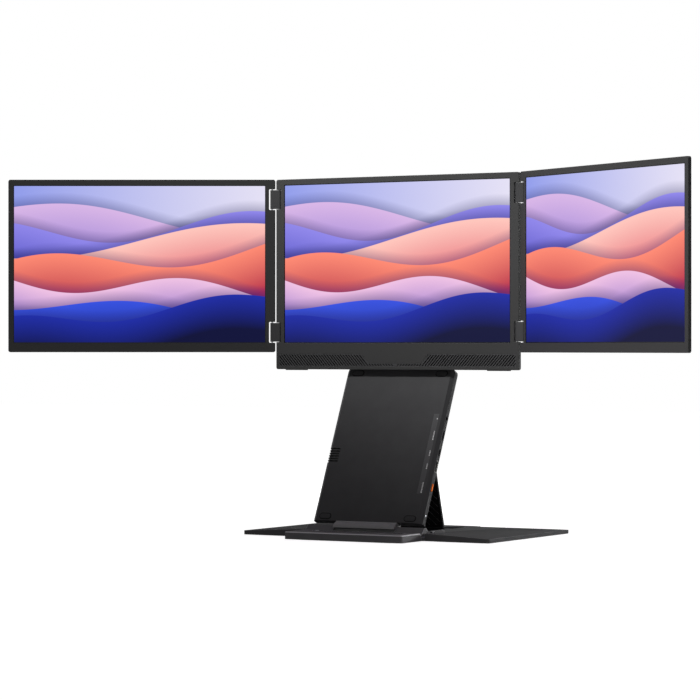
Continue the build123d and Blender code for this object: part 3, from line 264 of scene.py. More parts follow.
def grained(
    name, colour, grain_mm, depth_mm, mottle=0.12, edge_mm=0.4, wear_and_highlight=1.6, chamfer_highlight=0.0, **surface
):
    """A surface with fine grain, slightly uneven colour, and eased edges painted lighter, as wear and
    as a painted highlight.

    The grain's width and depth and the eased edge's width are in millimetres. mottle says how far the
    tone varies, the edge factor how much lighter an eased edge is painted, as wear and as a painted
    highlight, and the chamfer factor how much lighter the chamfers that slope up at half a right
    angle are painted, as a painted highlight. The rest are the shader's own inputs.
    """
    material, tree = new_material(name)
    coordinates = add_node(tree, "ShaderNodeTexCoord")
    place = coordinates.outputs["Object"]
    grain = add_node(
        tree, "ShaderNodeTexNoise",
        {"Vector": place, "Scale": 1 / (grain_mm * MM), "Detail": 2.0, "Roughness": 0.6},
    )
    cloud = add_node(
        tree, "ShaderNodeTexNoise", {"Vector": place, "Scale": 1 / CLOUD_SIZE, "Detail": 3.0}
    )
    both = add_node(
        tree, "ShaderNodeMath", {0: grain.outputs["Fac"], 1: cloud.outputs["Fac"]},
        operation="MULTIPLY",
    )
    dark = scaled(colour, 1 - mottle)
    light = scaled(colour, 1 + 3 * mottle)
    tone = add_node(
        tree, "ShaderNodeMix", {0: both.outputs[0], MIX_FIRST: dark, MIX_SECOND: light},
        data_type="RGBA",
    )
    eased = add_node(tree, "ShaderNodeBevel", {"Radius": edge_mm * MM}, samples=8).outputs["Normal"]
    flat = add_node(tree, "ShaderNodeNewGeometry").outputs["Normal"]
    straight = add_node(tree, "ShaderNodeVectorMath", {0: eased, 1: flat}, operation="DOT_PRODUCT")
    # Wear and painted highlight: where the eased normal bends away from the flat one, the edge is
    # coloured lighter
    bend = add_node(
        tree, "ShaderNodeMath", {0: 1.0, 1: straight.outputs["Value"]},
        operation="SUBTRACT", use_clamp=True,
    )
    rubbed_and_highlit = add_node(
        tree, "ShaderNodeMath", {0: bend.outputs[0], 1: RUB_AND_HIGHLIGHT_GAIN},
        operation="MULTIPLY", use_clamp=True,
    )
    # Painted highlight: chamfers that slope up at half a right angle are coloured lighter
    slope = add_node(tree, "ShaderNodeSeparateXYZ", {"Vector": coordinates.outputs["Normal"]})
    chamfer = add_node(
        tree, "ShaderNodeMath", {0: slope.outputs["Z"], 1: CHAMFER_SLOPE, 2: CHAMFER_LEEWAY},
        operation="COMPARE",
    )
    painted_chamfer_highlight = add_node(tree, "ShaderNodeMath", {0: chamfer.outputs[0], 1: chamfer_highlight}, operation="MULTIPLY")
    bright = add_node(
        tree, "ShaderNodeMath", {0: rubbed_and_highlit.outputs[0], 1: painted_chamfer_highlight.outputs[0]}, operation="MAXIMUM"
    )
    worn_and_highlit = add_node(
        tree, "ShaderNodeMix",
        {
            0: bright.outputs[0], MIX_FIRST: tone.outputs[MIX_RESULT],
            MIX_SECOND: scaled(colour, wear_and_highlight),
        },
        data_type="RGBA",
    )
    bump = add_node(
        tree, "ShaderNodeBump",
        {
            "Height": grain.outputs["Fac"], "Strength": 0.3, "Distance": depth_mm * MM,
            "Normal": eased,
        },
    )
    shader = add_node(
        tree, "ShaderNodeBsdfPrincipled",
        {"Base Color": worn_and_highlit.outputs[MIX_RESULT], "Normal": bump.outputs["Normal"], **surface},
    )
    return close_material(material, shader.outputs["BSDF"])


def brushed(name, colour, line_mm, along, **surface):
    """Metal with straight brush lines, of a width in millimetres, that run along x, y or z."""
    material, tree = new_material(name)
    place = add_node(tree, "ShaderNodeTexCoord").outputs["Object"]
    stretch = [1 / (line_mm * MM)] * 3
    stretch["xyz".index(along)] /= BRUSH_STRETCH
    lines = add_node(tree, "ShaderNodeMapping", {"Vector": place, "Scale": stretch})
    noise = add_node(
        tree, "ShaderNodeTexNoise", {"Vector": lines.outputs["Vector"], "Scale": 1.0, "Detail": 2.0}
    )
    dark = scaled(colour, 0.8)
    light = scaled(colour, 1.15)
    tone = add_node(
        tree, "ShaderNodeMix", {0: noise.outputs["Fac"], MIX_FIRST: dark, MIX_SECOND: light},
        data_type="RGBA",
    )
    bump = add_node(
        tree, "ShaderNodeBump",
        {"Height": noise.outputs["Fac"], "Strength": 0.2, "Distance": 0.02 * MM},
    )
    shader = add_node(
        tree, "ShaderNodeBsdfPrincipled",
        {
            "Base Color": tone.outputs[MIX_RESULT], "Normal": bump.outputs["Normal"],
            "Metallic": 1.0, **surface,
        },
    )
    return close_material(material, shader.outputs["BSDF"])


def circuit_board(name):
    """Glass-fibre board under black solder mask, with copper tracks 1.2 mm apart showing through."""
    material, tree = new_material(name)
    place = add_node(tree, "ShaderNodeTexCoord").outputs["Object"]
    tracks = add_node(
        tree, "ShaderNodeTexBrick",
        {
            "Vector": place, "Scale": 1 / (6 * MM), "Row Height": 0.2, "Brick Width": 0.8,
            "Mortar Size": 0.03, "Color1": opaque(linear("#0b0d0c")),
            "Color2": opaque(linear("#0e110f")), "Mortar": opaque(linear("#232722")),
        },
    )
    shader = add_node(
        tree, "ShaderNodeBsdfPrincipled",
        {
            "Base Color": tracks.outputs["Color"], "Roughness": 0.5, "IOR": 1.5,
            "Specular IOR Level": 0.2,
        },
    )
    return close_material(material, shader.outputs["BSDF"])


# The picture is a pale sky with folded bands before it. Each line is one fold, from the back one to
# the front one: height of its crest, swing, number of waves across, phase, rise to the right, depth
# of its shade, and the colours of its crest and its foot. Heights are shares of the picture's height.
PICTURE_SKY = ("#8f9bea", "#e4e0f4")
PICTURE_FOLDS = (
    (0.84, 0.070, 0.80, 0.4, -0.10, 0.42, "#d9b6e6", "#7d6bd0"),
    (0.70, 0.085, 0.95, 2.3, 0.06, 0.36, "#8f86ea", "#2f38ba"),
    (0.60, 0.075, 0.70, 4.1, 0.10, 0.34, "#ffc7bd", "#e2566a"),
    (0.47, 0.080, 0.90, 0.9, 0.14, 0.30, "#ff8a72", "#b92b49"),
    (0.40, 0.065, 1.10, 3.2, -0.08, 0.30, "#f0c2e4", "#6a4fc4"),
    (0.27, 0.070, 0.85, 5.2, -0.16, 0.30, "#3450e0", "#0a1272"),
    (0.12, 0.050, 1.20, 1.6, 0.16, 0.22, "#1a2aa6", "#040838"),
)
FOLD_EDGE_STEEPNESS = 420.0
FOLD_SHADOW_COLOUR = "#1a1a6e"
FOLD_SHADOW_REACH = 0.07
FOLD_SHADOW_STRENGTH = 0.45


def lit_picture(name):
    """Liquid-crystal display under matt glass: it lights itself, so its colours hold in any light."""
    material, tree = new_material(name)
    place = add_node(tree, "ShaderNodeTexCoord").outputs["UV"]
    split = add_node(tree, "ShaderNodeSeparateXYZ", {"Vector": place})
    across, height = split.outputs["X"], split.outputs["Y"]
    sky_left, sky_right = (opaque(linear(hex_colour)) for hex_colour in PICTURE_SKY)
    shade = opaque(linear(FOLD_SHADOW_COLOUR))
    colour = add_node(
        tree, "ShaderNodeMix", {0: across, MIX_FIRST: sky_left, MIX_SECOND: sky_right},
        data_type="RGBA",
    ).outputs[MIX_RESULT]
    for middle, swing, waves, phase, rise, depth, crest_hex, foot_hex in PICTURE_FOLDS:
        turn = add_node(
            tree, "ShaderNodeMath", {0: across, 1: waves * 2 * math.pi, 2: phase},
            operation="MULTIPLY_ADD",
        )
        sine = add_node(tree, "ShaderNodeMath", {0: turn.outputs[0]}, operation="SINE")
        wave = add_node(
            tree, "ShaderNodeMath", {0: sine.outputs[0], 1: swing, 2: middle},
            operation="MULTIPLY_ADD",
        )
        crest = add_node(
            tree, "ShaderNodeMath", {0: across, 1: rise, 2: wave.outputs[0]},
            operation="MULTIPLY_ADD",
        )
        below = add_node(
            tree, "ShaderNodeMath", {0: crest.outputs[0], 1: height}, operation="SUBTRACT"
        ).outputs[0]
        shadow = add_node(
            tree, "ShaderNodeMath", {0: below, 1: 1 / FOLD_SHADOW_REACH, 2: 1.0},
            operation="MULTIPLY_ADD", use_clamp=True,
        )
        weaker = add_node(
            tree, "ShaderNodeMath", {0: shadow.outputs[0], 1: FOLD_SHADOW_STRENGTH},
            operation="MULTIPLY",
        )
        behind = add_node(
            tree, "ShaderNodeMix", {0: weaker.outputs[0], MIX_FIRST: colour, MIX_SECOND: shade},
            data_type="RGBA",
        )
        fade = add_node(
            tree, "ShaderNodeMath", {0: below, 1: 1 / depth}, operation="MULTIPLY", use_clamp=True
        )
        fold = add_node(
            tree, "ShaderNodeMix",
            {
                0: fade.outputs[0], MIX_FIRST: opaque(linear(crest_hex)),
                MIX_SECOND: opaque(linear(foot_hex)),
            },
            data_type="RGBA",
        )
        inside = add_node(
            tree, "ShaderNodeMath", {0: below, 1: FOLD_EDGE_STEEPNESS},
            operation="MULTIPLY", use_clamp=True,
        )
        colour = add_node(
            tree, "ShaderNodeMix",
            {
                0: inside.outputs[0], MIX_FIRST: behind.outputs[MIX_RESULT],
                MIX_SECOND: fold.outputs[MIX_RESULT],
            },
            data_type="RGBA",
        ).outputs[MIX_RESULT]
    shader = add_node(
        tree, "ShaderNodeBsdfPrincipled",
        {
            "Base Color": opaque(linear("#050507")), "Roughness": 0.42, "Specular IOR Level": 0.08,
            "Emission Color": colour, "Emission Strength": 1.0,
        },
    )
    return close_material(material, shader.outputs["BSDF"])


def make_materials(colours):
    """Every finish of the extender, each under a short key."""
    return {
        # ABS from a spark-eroded mould: a dark, even, slightly silky surface
        "shell": grained(
            "moulded_abs", colours.shell, 0.8, 0.01, mottle=0.06, edge_mm=0.3, wear_and_highlight=1.3,
            **{"Roughness": 0.45, "IOR": 1.53, "Specular IOR Level": 0.2},
        ),
        # Bead-blasted and anodised aluminium: its dyed oxide is near black, silky and hardly glossy
        "column": grained(
            "anodised_aluminium", colours.column, 0.5, 0.012, edge_mm=0.5,
            **{"Roughness": 0.5, "Specular IOR Level": 0.03},
        ),
        # The same, blasted coarser for the base, so that it stays dull at low angles; its chamfers
        # carry a painted highlight and show as light lines
        "base": grained(
            "blasted_anodised_aluminium", colours.base, 0.5, 0.02, edge_mm=0.8, wear_and_highlight=4.0, chamfer_highlight=1.0,
            **{"Roughness": 0.7, "Specular IOR Level": 0.002},
        ),
        # The same as the base in a darker copy for the wings: painted shade for the lower light that
        # falls on them
        "wings": grained(
            "shaded_copy_blasted_anodised_aluminium", colours.wings, 0.5, 0.02,
            edge_mm=0.6, wear_and_highlight=4.0, chamfer_highlight=1.0,
            **{"Roughness": 0.7, "Specular IOR Level": 0.002},
        ),
        # Satin-painted cover of the foot's hinge: smoother than the base round it
        "cover": grained(
            "satin_painted_steel", linear("#808081"), 0.6, 0.01, edge_mm=0.6, wear_and_highlight=1.6,
            **{"Roughness": 0.5, "IOR": 1.5, "Specular IOR Level": 0.15},
        ),
        # Dyed aluminium plate whose milled grooves are painted lighter along their edges, as bare
        # metal and as a painted highlight
        "milled": grained(
            "milled_anodised_plate", linear("#1c1c1d"), 0.5, 0.012, edge_mm=0.3, wear_and_highlight=30.0,
            **{"Roughness": 0.5, "Specular IOR Level": 0.03},
        ),
        # Powder-coated hinge steel: satin, a little lighter than the shells
        "hinge": grained(
            "powder_coated_steel", linear("#323233"), 0.7, 0.02, edge_mm=0.4, wear_and_highlight=2.0,
            **{"Roughness": 0.45, "IOR": 1.5, "Specular IOR Level": 0.15},
        ),
        # Perforated and painted steel sheet over the speakers: even and satin
        "grille": grained(
            "painted_steel_grille", linear("#343435"), 0.6, 0.01, edge_mm=0.2,
            **{"Roughness": 0.5, "IOR": 1.5, "Specular IOR Level": 0.2},
        ),
        # Printed polycarbonate strip: smooth, a shade lighter than the column
        "label": grained(
            "printed_polycarbonate", linear("#525253"), 0.8, 0.01, edge_mm=0.1,
            **{"Roughness": 0.5, "IOR": 1.58, "Specular IOR Level": 0.03},
        ),
        # Silicone rubber of feet and strips: black, matt and soft
        "rubber": grained(
            "silicone_rubber", linear("#0f0f10"), 0.7, 0.04,
            **{"Roughness": 0.8, "IOR": 1.41, "Specular IOR Level": 0.15},
        ),
        # Painted thermoplastic rubber: matt, close to the colour of the column that it pads
        "pad": grained(
            "soft_touch_rubber", linear("#3c3c3d"), 0.7, 0.03, edge_mm=0.4, wear_and_highlight=1.4,
            **{"Roughness": 0.6, "IOR": 1.45, "Specular IOR Level": 0.05},
        ),
        # Black-tinted glass of the display's rim: deep and smooth
        "glass": grained(
            "black_display_glass", linear("#060607"), 2.0, 0.003, mottle=0.02, edge_mm=0.1,
            **{"Roughness": 0.2, "IOR": 1.5, "Specular IOR Level": 0.2},
        ),
        # ABS in a warm orange, moulded satin
        "accent": grained(
            "satin_orange_abs", colours.accent, 0.6, 0.01, mottle=0.04, wear_and_highlight=1.1,
            **{"Roughness": 0.5, "IOR": 1.53, "Specular IOR Level": 0.06},
        ),
        # Screen-printing ink: pale, flat and matt
        "ink": grained(
            "screen_printing_ink", colours.ink, 0.5, 0.005, mottle=0.05, edge_mm=0.02,
            **{"Roughness": 0.6, "IOR": 1.5},
        ),
        # Acrylic light guide, white with the light behind it
        "light": grained(
            "lit_acrylic", linear("#f4f6f8"), 1.0, 0.005, mottle=0.02, edge_mm=0.1,
            **{
                "Roughness": 0.3, "IOR": 1.49,
                "Emission Color": opaque(linear("#eef4ff")), "Emission Strength": 0.9,
            },
        ),
        # Moulded liquid-crystal polymer of connectors and speakers, also used for the painted-shade
        # sheets behind the grille: black and dull
        "polymer": grained(
            "liquid_crystal_polymer", linear("#060606"), 0.5, 0.02, edge_mm=0.1,
            **{"Roughness": 0.8, "IOR": 1.6, "Specular IOR Level": 0.05},
        ),
        # Chemically blackened steel of small ports, bearings, the base's pins and cover screws: dark,
        # with a dull shine
        "blackened": grained(
            "blackened_steel", linear("#131314"), 0.4, 0.01, edge_mm=0.2, wear_and_highlight=1.8,
            **{"Metallic": 0.6, "Roughness": 0.5, "Specular IOR Level": 0.2},
        ),
        # Ground steel of pins and screws: bright, with fine upright lines
        "steel": brushed("brushed_steel", linear("#a9abad"), 0.3, "z", Roughness=0.32),
        # Nickel-plated connector shell: dull silver, with faint rolling lines
        "plate": brushed("nickel_plated_steel", linear("#7c7b79"), 0.25, "x", Roughness=0.4),
        # Zinc-plated ballast steel: dull grey
        "zinc": brushed("zinc_plated_steel", linear("#85888c"), 0.6, "y", Roughness=0.45),
        "board": circuit_board("black_circuit_board"),
        "picture": lit_picture("lit_matt_display_glass"),
    }


def dress(material, *nodes):
    """Gives CAD nodes a material."""
    for name in nodes:
        node = frame["nodes"][name]
        node.data.materials.clear()
        node.data.materials.append(material)


# ======== places ========
def basis(across, up, front, origin=(0, 0, 0)):
    """Matrix whose first three axes are across, up and front, with its origin at a point."""
    matrix = Matrix((across, up, front)).transposed().to_4x4()
    matrix.translation = Vector(origin)
    return matrix


def screen_basis(side, sizes):
    """Axes of a screen: across it, up, and out of its front."""
    turn = side * sizes.toe_in
    across = Vector((math.cos(turn), -math.sin(turn), 0))
    front = Vector((-math.sin(turn), -math.cos(turn), 0))
    return basis(across, UP, front)


def column_basis(sizes):
    """Axes of the column from its foot's hinge: across, up along it, and out of its front."""
    hinge = next(joint for joint in frame["joints"] if joint["name"] == "column_tilt")
    up = Vector((0, math.sin(sizes.lean), math.cos(sizes.lean)))
    front = Vector((0, -math.cos(sizes.lean), math.sin(sizes.lean)))
    return basis(RIGHT, up, front, hinge["pos_m"])


def extent(node, matrix):
    """Lowest and highest corner of a CAD node along a basis's axes."""
    inverse = matrix.inverted()
    points = [inverse @ vertex.co for vertex in frame["nodes"][node].data.vertices]
    low = Vector(min(point[axis] for point in points) for axis in range(3))
    high = Vector(max(point[axis] for point in points) for axis in range(3))
    return low, high


# ======== meshes ========
SCREW_SEGMENTS = 36
SCREW_LOBES = 6


def make_piece(name, mesh_data, material, body):
    """Turns finished mesh data into a piece that rides on a body."""
    bmesh.ops.recalc_face_normals(mesh_data, faces=mesh_data.faces)
    mesh = bpy.data.meshes.new(name)
    mesh_data.to_mesh(mesh)
    mesh_data.free()
    mesh.materials.append(material)
    piece = bpy.data.objects.new(name, mesh)
    bpy.context.scene.collection.objects.link(piece)
    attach(piece, body)
    return piece


def rounded_outline(low, high, radius, steps=4):
    """Points round a rectangle with rounded corners."""
    corners = (
        (high[0] - radius, high[1] - radius, 0), (low[0] + radius, high[1] - radius, 90),
        (low[0] + radius, low[1] + radius, 180), (high[0] - radius, low[1] + radius, 270),
    )
    points = []
    for centre_x, centre_y, start in corners:
        for step in range(steps + 1):
            angle = math.radians(start + 90 * step / steps)
            x = centre_x + radius * math.cos(angle)
            y = centre_y + radius * math.sin(angle)
            points.append((x, y))
    return points


def add_ring(mesh_data, outline, matrix, height):
    """Vertices of an outline at one height."""
    return [mesh_data.verts.new(matrix @ Vector((x, y, height))) for x, y in outline]


def join_rings(mesh_data, lower, upper):
    """Faces all round between two rings that have the same number of vertices."""
    count = len(lower)
    for index in range(count):
        after = (index + 1) % count
        mesh_data.faces.new((lower[index], lower[after], upper[after], upper[index]))


def add_prism(mesh_data, outline, matrix, low, high):
    """A closed slab of an outline between two heights, of which it gives the upper face."""
    lower = add_ring(mesh_data, outline, matrix, low)
    upper = add_ring(mesh_data, outline, matrix, high)
    join_rings(mesh_data, lower, upper)
    mesh_data.faces.new(list(reversed(lower)))
    return mesh_data.faces.new(upper)


def add_rim(mesh_data, inner, outer, matrix, low, high):
    """A closed low rim between two outlines that have the same number of points."""
    edges = ((inner, low), (outer, low), (outer, high), (inner, high))
    rings = [add_ring(mesh_data, outline, matrix, height) for outline, height in edges]
    for ring, following in zip(rings, rings[1:] + rings[:1]):
        join_rings(mesh_data, ring, following)


def add_screw_head(mesh_data, matrix, radius, height):
    """A low round screw head with a chamfered rim and a six-lobed recess."""
    chamfer_top = 0.84 * radius
    chamfer_foot = 0.65 * height
    recess = 0.42 * radius
    recess_floor = 0.86 * recess
    floor_height = 0.3 * height
    lobing = 0.16
    profile = (
        (radius, 0.0, 0.0), (radius, chamfer_foot, 0.0), (chamfer_top, height, 0.0),
        (recess, height, lobing), (recess_floor, floor_height, lobing),
    )
    rings = []
    for reach, level, wave in profile:
        outline = []
        for index in range(SCREW_SEGMENTS):
            angle = 2 * math.pi * index / SCREW_SEGMENTS
            lobed = reach * (1 + wave * math.cos(SCREW_LOBES * angle))
            outline.append((lobed * math.cos(angle), lobed * math.sin(angle)))
        rings.append(add_ring(mesh_data, outline, matrix, level))
    for lower, upper in zip(rings, rings[1:]):
        join_rings(mesh_data, lower, upper)
    mesh_data.faces.new(list(reversed(rings[0])))
    mesh_data.faces.new(rings[-1])


# ======== pieces ========
class EXTENDER_OT_screens(bpy.types.Operator):
    """Finishes the three screens, lights their pictures and sets the screws in their backs"""

    bl_idname = "extender.screens"
    bl_label = "Screens"

    def execute(self, context):
        """Dresses the screens' nodes and adds picture glass, cover screws, and black sheets of
        painted shade behind the grille.
        """
        sizes = context.scene.extender_sizes
        finish = make_materials(context.scene.extender_colours)
        for name, side in SIDES.items():
            dress(finish["shell"], f"{name}_bezel")
            dress(finish["column"], f"{name}_rear_cover")
            dress(finish["glass"], f"{name}_display")
            dress(finish["light"], f"{name}_backlight")
            dress(finish["blackened"], f"{name}_hinge_bearings")
            matrix = screen_basis(side, sizes)
            self.add_picture(name, matrix, sizes, finish["picture"])
            self.add_cover_screws(name, matrix, sizes, finish["blackened"])
        dress(finish["grille"], "speaker_grille")
        dress(finish["polymer"], "speakers")
        dress(finish["board"], "display_driver_board")
        dress(finish["rubber"], "screen_foot_strips")
        self.add_grille_shade_sheets(finish["polymer"])
        return {"FINISHED"}

    def add_grille_shade_sheets(self, material):
        """Thin black sheets of painted shade right behind the grille wherever no speaker stands
        behind it.
        """
        side_gap = 0.3 * MM
        corner = 0.5 * MM
        near_depth = 0.02 * MM
        far_depth = 0.15 * MM
        low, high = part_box("speaker_grille")
        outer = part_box("speakers")[1].x + side_gap
        speaker_points = [vertex.co.x for vertex in frame["nodes"]["speakers"].data.vertices]
        inner = min(x for x in speaker_points if x > 0) - side_gap
        matrix = basis(RIGHT, UP, -BACK)
        # Painted shade: the black sheets stand for the dark behind the grille's slots
        sheets = bmesh.new()
        for left, right in ((low.x, -outer), (-inner, inner), (outer, high.x)):
            outline = rounded_outline((left, low.z), (right, high.z), corner)
            add_prism(sheets, outline, matrix, -high.y - far_depth, -high.y - near_depth)
        make_piece("grille_painted_shade_sheets", sheets, material, "screen_centre")

    def add_picture(self, name, matrix, sizes, material):
        """Matt glass in the screen's window, with the picture laid over its front."""
        corner = 0.6 * MM
        low, high = extent(f"{name}_display", matrix)
        inset = sizes.display_margin + sizes.picture_border
        corner_low = (low.x + inset, low.y + inset)
        corner_high = (high.x - inset, high.y - inset)
        outline = rounded_outline(corner_low, corner_high, corner)
        glass = bmesh.new()
        top = add_prism(glass, outline, matrix, high.z, high.z + sizes.picture_thickness)
        uv_layer = glass.loops.layers.uv.new("picture")
        inverse = matrix.inverted()
        for loop in top.loops:
            place = inverse @ loop.vert.co
            loop[uv_layer].uv = (
                (place.x - corner_low[0]) / (corner_high[0] - corner_low[0]),
                (place.y - corner_low[1]) / (corner_high[1] - corner_low[1]),
            )
        make_piece(f"{name}_picture", glass, material, f"screen_{name}")

    def add_cover_screws(self, name, matrix, sizes, material):
        """Six low screws round the edge of the screen's back."""
        height = 0.4 * MM
        low, high = extent(f"{name}_rear_cover", matrix)
        across, up, front = (matrix.col[axis].to_3d() for axis in range(3))
        inset = sizes.cover_screw_inset
        heads = bmesh.new()
        for x in (low.x + inset, (low.x + high.x) / 2, high.x - inset):
            for y in (low.y + inset, high.y - inset):
                place = matrix @ Vector((x, y, low.z))
                back = basis(-across, up, -front, place)
                add_screw_head(heads, back, sizes.cover_screw_radius, height)
        make_piece(f"{name}_cover_screws", heads, material, f"screen_{name}")


class EXTENDER_OT_hinges(bpy.types.Operator):
    """Finishes the links between the screens and the tilt hinge, and cuts the screw heads"""

    bl_idname = "extender.hinges"
    bl_label = "Hinges"

    def execute(self, context):
        """Dresses the hinges and replaces the tilt bracket's plain screws."""
        finish = make_materials(context.scene.extender_colours)
        dress(finish["hinge"], "left_hinge_links", "right_hinge_links")
        dress(finish["hinge"], "column_hinge_arms", "screen_tilt_bracket")
        dress(finish["steel"], "left_hinge_pins", "right_hinge_pins", "tilt_hinge_pins")
        row_from_middle = 5.5 * MM
        low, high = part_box("tilt_bracket_screws")
        radius = (high.z - low.z) / 2 - row_from_middle
        heads = bmesh.new()
        for x in (low.x + radius, (low.x + high.x) / 2, high.x - radius):
            for z in (low.z + radius, high.z - radius):
                back = basis(-RIGHT, UP, BACK, (x, low.y, z))
                add_screw_head(heads, back, radius, high.y - low.y)
        piece = make_piece(
            "tilt_bracket_screw_heads", heads, finish["steel"], "screen_centre"
        )
        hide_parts("tilt_bracket_screws")
        return {"FINISHED"}


# Lengths in millimetres of the marks beside each socket and the button, from the lowest one upward
MARK_ROWS = {
    "audio_port": (1.4,),
    "mini_video_port": (1.5, 0.9, 1.3, 1.1, 0.8, 1.2, 1.0),
    "usb_c_port": (1.2, 1.0, 1.4, 1.1),
    "usb_a_port": (1.4, 1.1, 1.0, 1.2),
    "side_button": (1.5, 1.0, 1.2, 0.8, 1.4, 1.0, 1.3, 0.9),
}


class EXTENDER_OT_column(bpy.types.Operator):
    """Finishes the column, its ports, its button and its strut, and prints the strip's marks"""

    bl_idname = "extender.column"
    bl_label = "Column"

    def execute(self, context):
        """Dresses the column's nodes, prints the marks and rims the soft pads."""
        sizes = context.scene.extender_sizes
        finish = make_materials(context.scene.extender_colours)
        dress(finish["column"], "column_rear_shell", "column_front_cover")
        dress(finish["label"], "port_label_strip")
        dress(finish["pad"], "column_bumpers")
        dress(finish["cover"], "column_knuckle")
        dress(finish["steel"], "column_screws", "mainboard_screws", "strut_pin")
        dress(finish["plate"], "usb_a_port")
        dress(finish["blackened"], "usb_c_port", "mini_video_port")
        dress(finish["polymer"], "audio_port", "button_switch")
        dress(finish["accent"], "side_button")
        dress(finish["light"], "status_light_pipe")
        dress(finish["board"], "mainboard")
        dress(finish["milled"], "strut_plate")
        dress(finish["rubber"], "strut_foot")
        matrix = column_basis(sizes)
        self.print_marks(matrix, sizes, finish["ink"])
        self.rim_pads(matrix, sizes, finish["polymer"])
        return {"FINISHED"}

    def print_marks(self, matrix, sizes, material):
        """Short printed dashes beside each port, the button and the audio socket."""
        corner = 0.25 * MM
        strip_high = extent("port_label_strip", matrix)[1]
        middle_x = strip_high.x - sizes.mark_inset
        left = middle_x - sizes.mark_height / 2
        right = middle_x + sizes.mark_height / 2
        marks = bmesh.new()
        for node, lengths in MARK_ROWS.items():
            node_low, node_high = extent(node, matrix)
            total = sum(lengths) * MM + sizes.mark_gap * (len(lengths) - 1)
            start = (node_low.y + node_high.y) / 2 - sizes.mark_drop - total / 2
            for length in lengths:
                end = start + length * MM
                outline = rounded_outline((left, start), (right, end), corner, steps=2)
                add_prism(marks, outline, matrix, strip_high.z, strip_high.z + sizes.ink_thickness)
                start = end + sizes.mark_gap
        make_piece("port_marks", marks, material, "column")

    def rim_pads(self, matrix, sizes, material):
        """A low black rim round each of the four soft pads, whose ends are round."""
        height = 0.15 * MM
        # Keeps the corners of a round end from meeting in one point
        short_of_round = 0.01 * MM
        low, high = extent("column_bumpers", matrix)
        face = extent("column_front_cover", matrix)[1].z
        length = sizes.pad_length
        width = length * 3 / 7
        rims = bmesh.new()
        for left in (low.x, high.x - length):
            for foot in (low.y, high.y - width):
                outlines = [
                    rounded_outline(
                        (left - grow, foot - grow), (left + length + grow, foot + width + grow),
                        width / 2 + grow - short_of_round,
                    )
                    for grow in (0.0, sizes.pad_rim)
                ]
                add_rim(rims, *outlines, matrix, face, face + height)
        make_piece("pad_rims", rims, material, "column")


class EXTENDER_OT_base(bpy.types.Operator):
    """Finishes the base and its wings, and sets the small stud in the bar's groove"""

    bl_idname = "extender.base"
    bl_label = "Base"

    def execute(self, context):
        """Dresses the base and the wings and adds the groove's stud."""
        sizes = context.scene.extender_sizes
        finish = make_materials(context.scene.extender_colours)
        dress(finish["base"], "base_housing")
        dress(finish["wings"], "left_wing", "right_wing")
        dress(finish["rubber"], "base_groove_strip", "base_feet")
        dress(finish["rubber"], "left_wing_feet", "right_wing_feet")
        dress(finish["zinc"], "ballast_bar")
        dress(finish["hinge"], "left_wing_weight", "right_wing_weight")
        dress(finish["polymer"], "ballast_cover")
        dress(finish["steel"], "base_screws")
        dress(finish["blackened"], "wing_hinge_pins", "column_hinge_pin")
        stud_height = 0.3 * MM
        groove_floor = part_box("base_groove_strip")[1].z
        place = basis(RIGHT, BACK, UP, (*sizes.stud_place, groove_floor))
        stud = bmesh.new()
        add_screw_head(stud, place, sizes.stud_radius, stud_height)
        make_piece("groove_stud", stud, finish["steel"], "base")
        return {"FINISHED"}


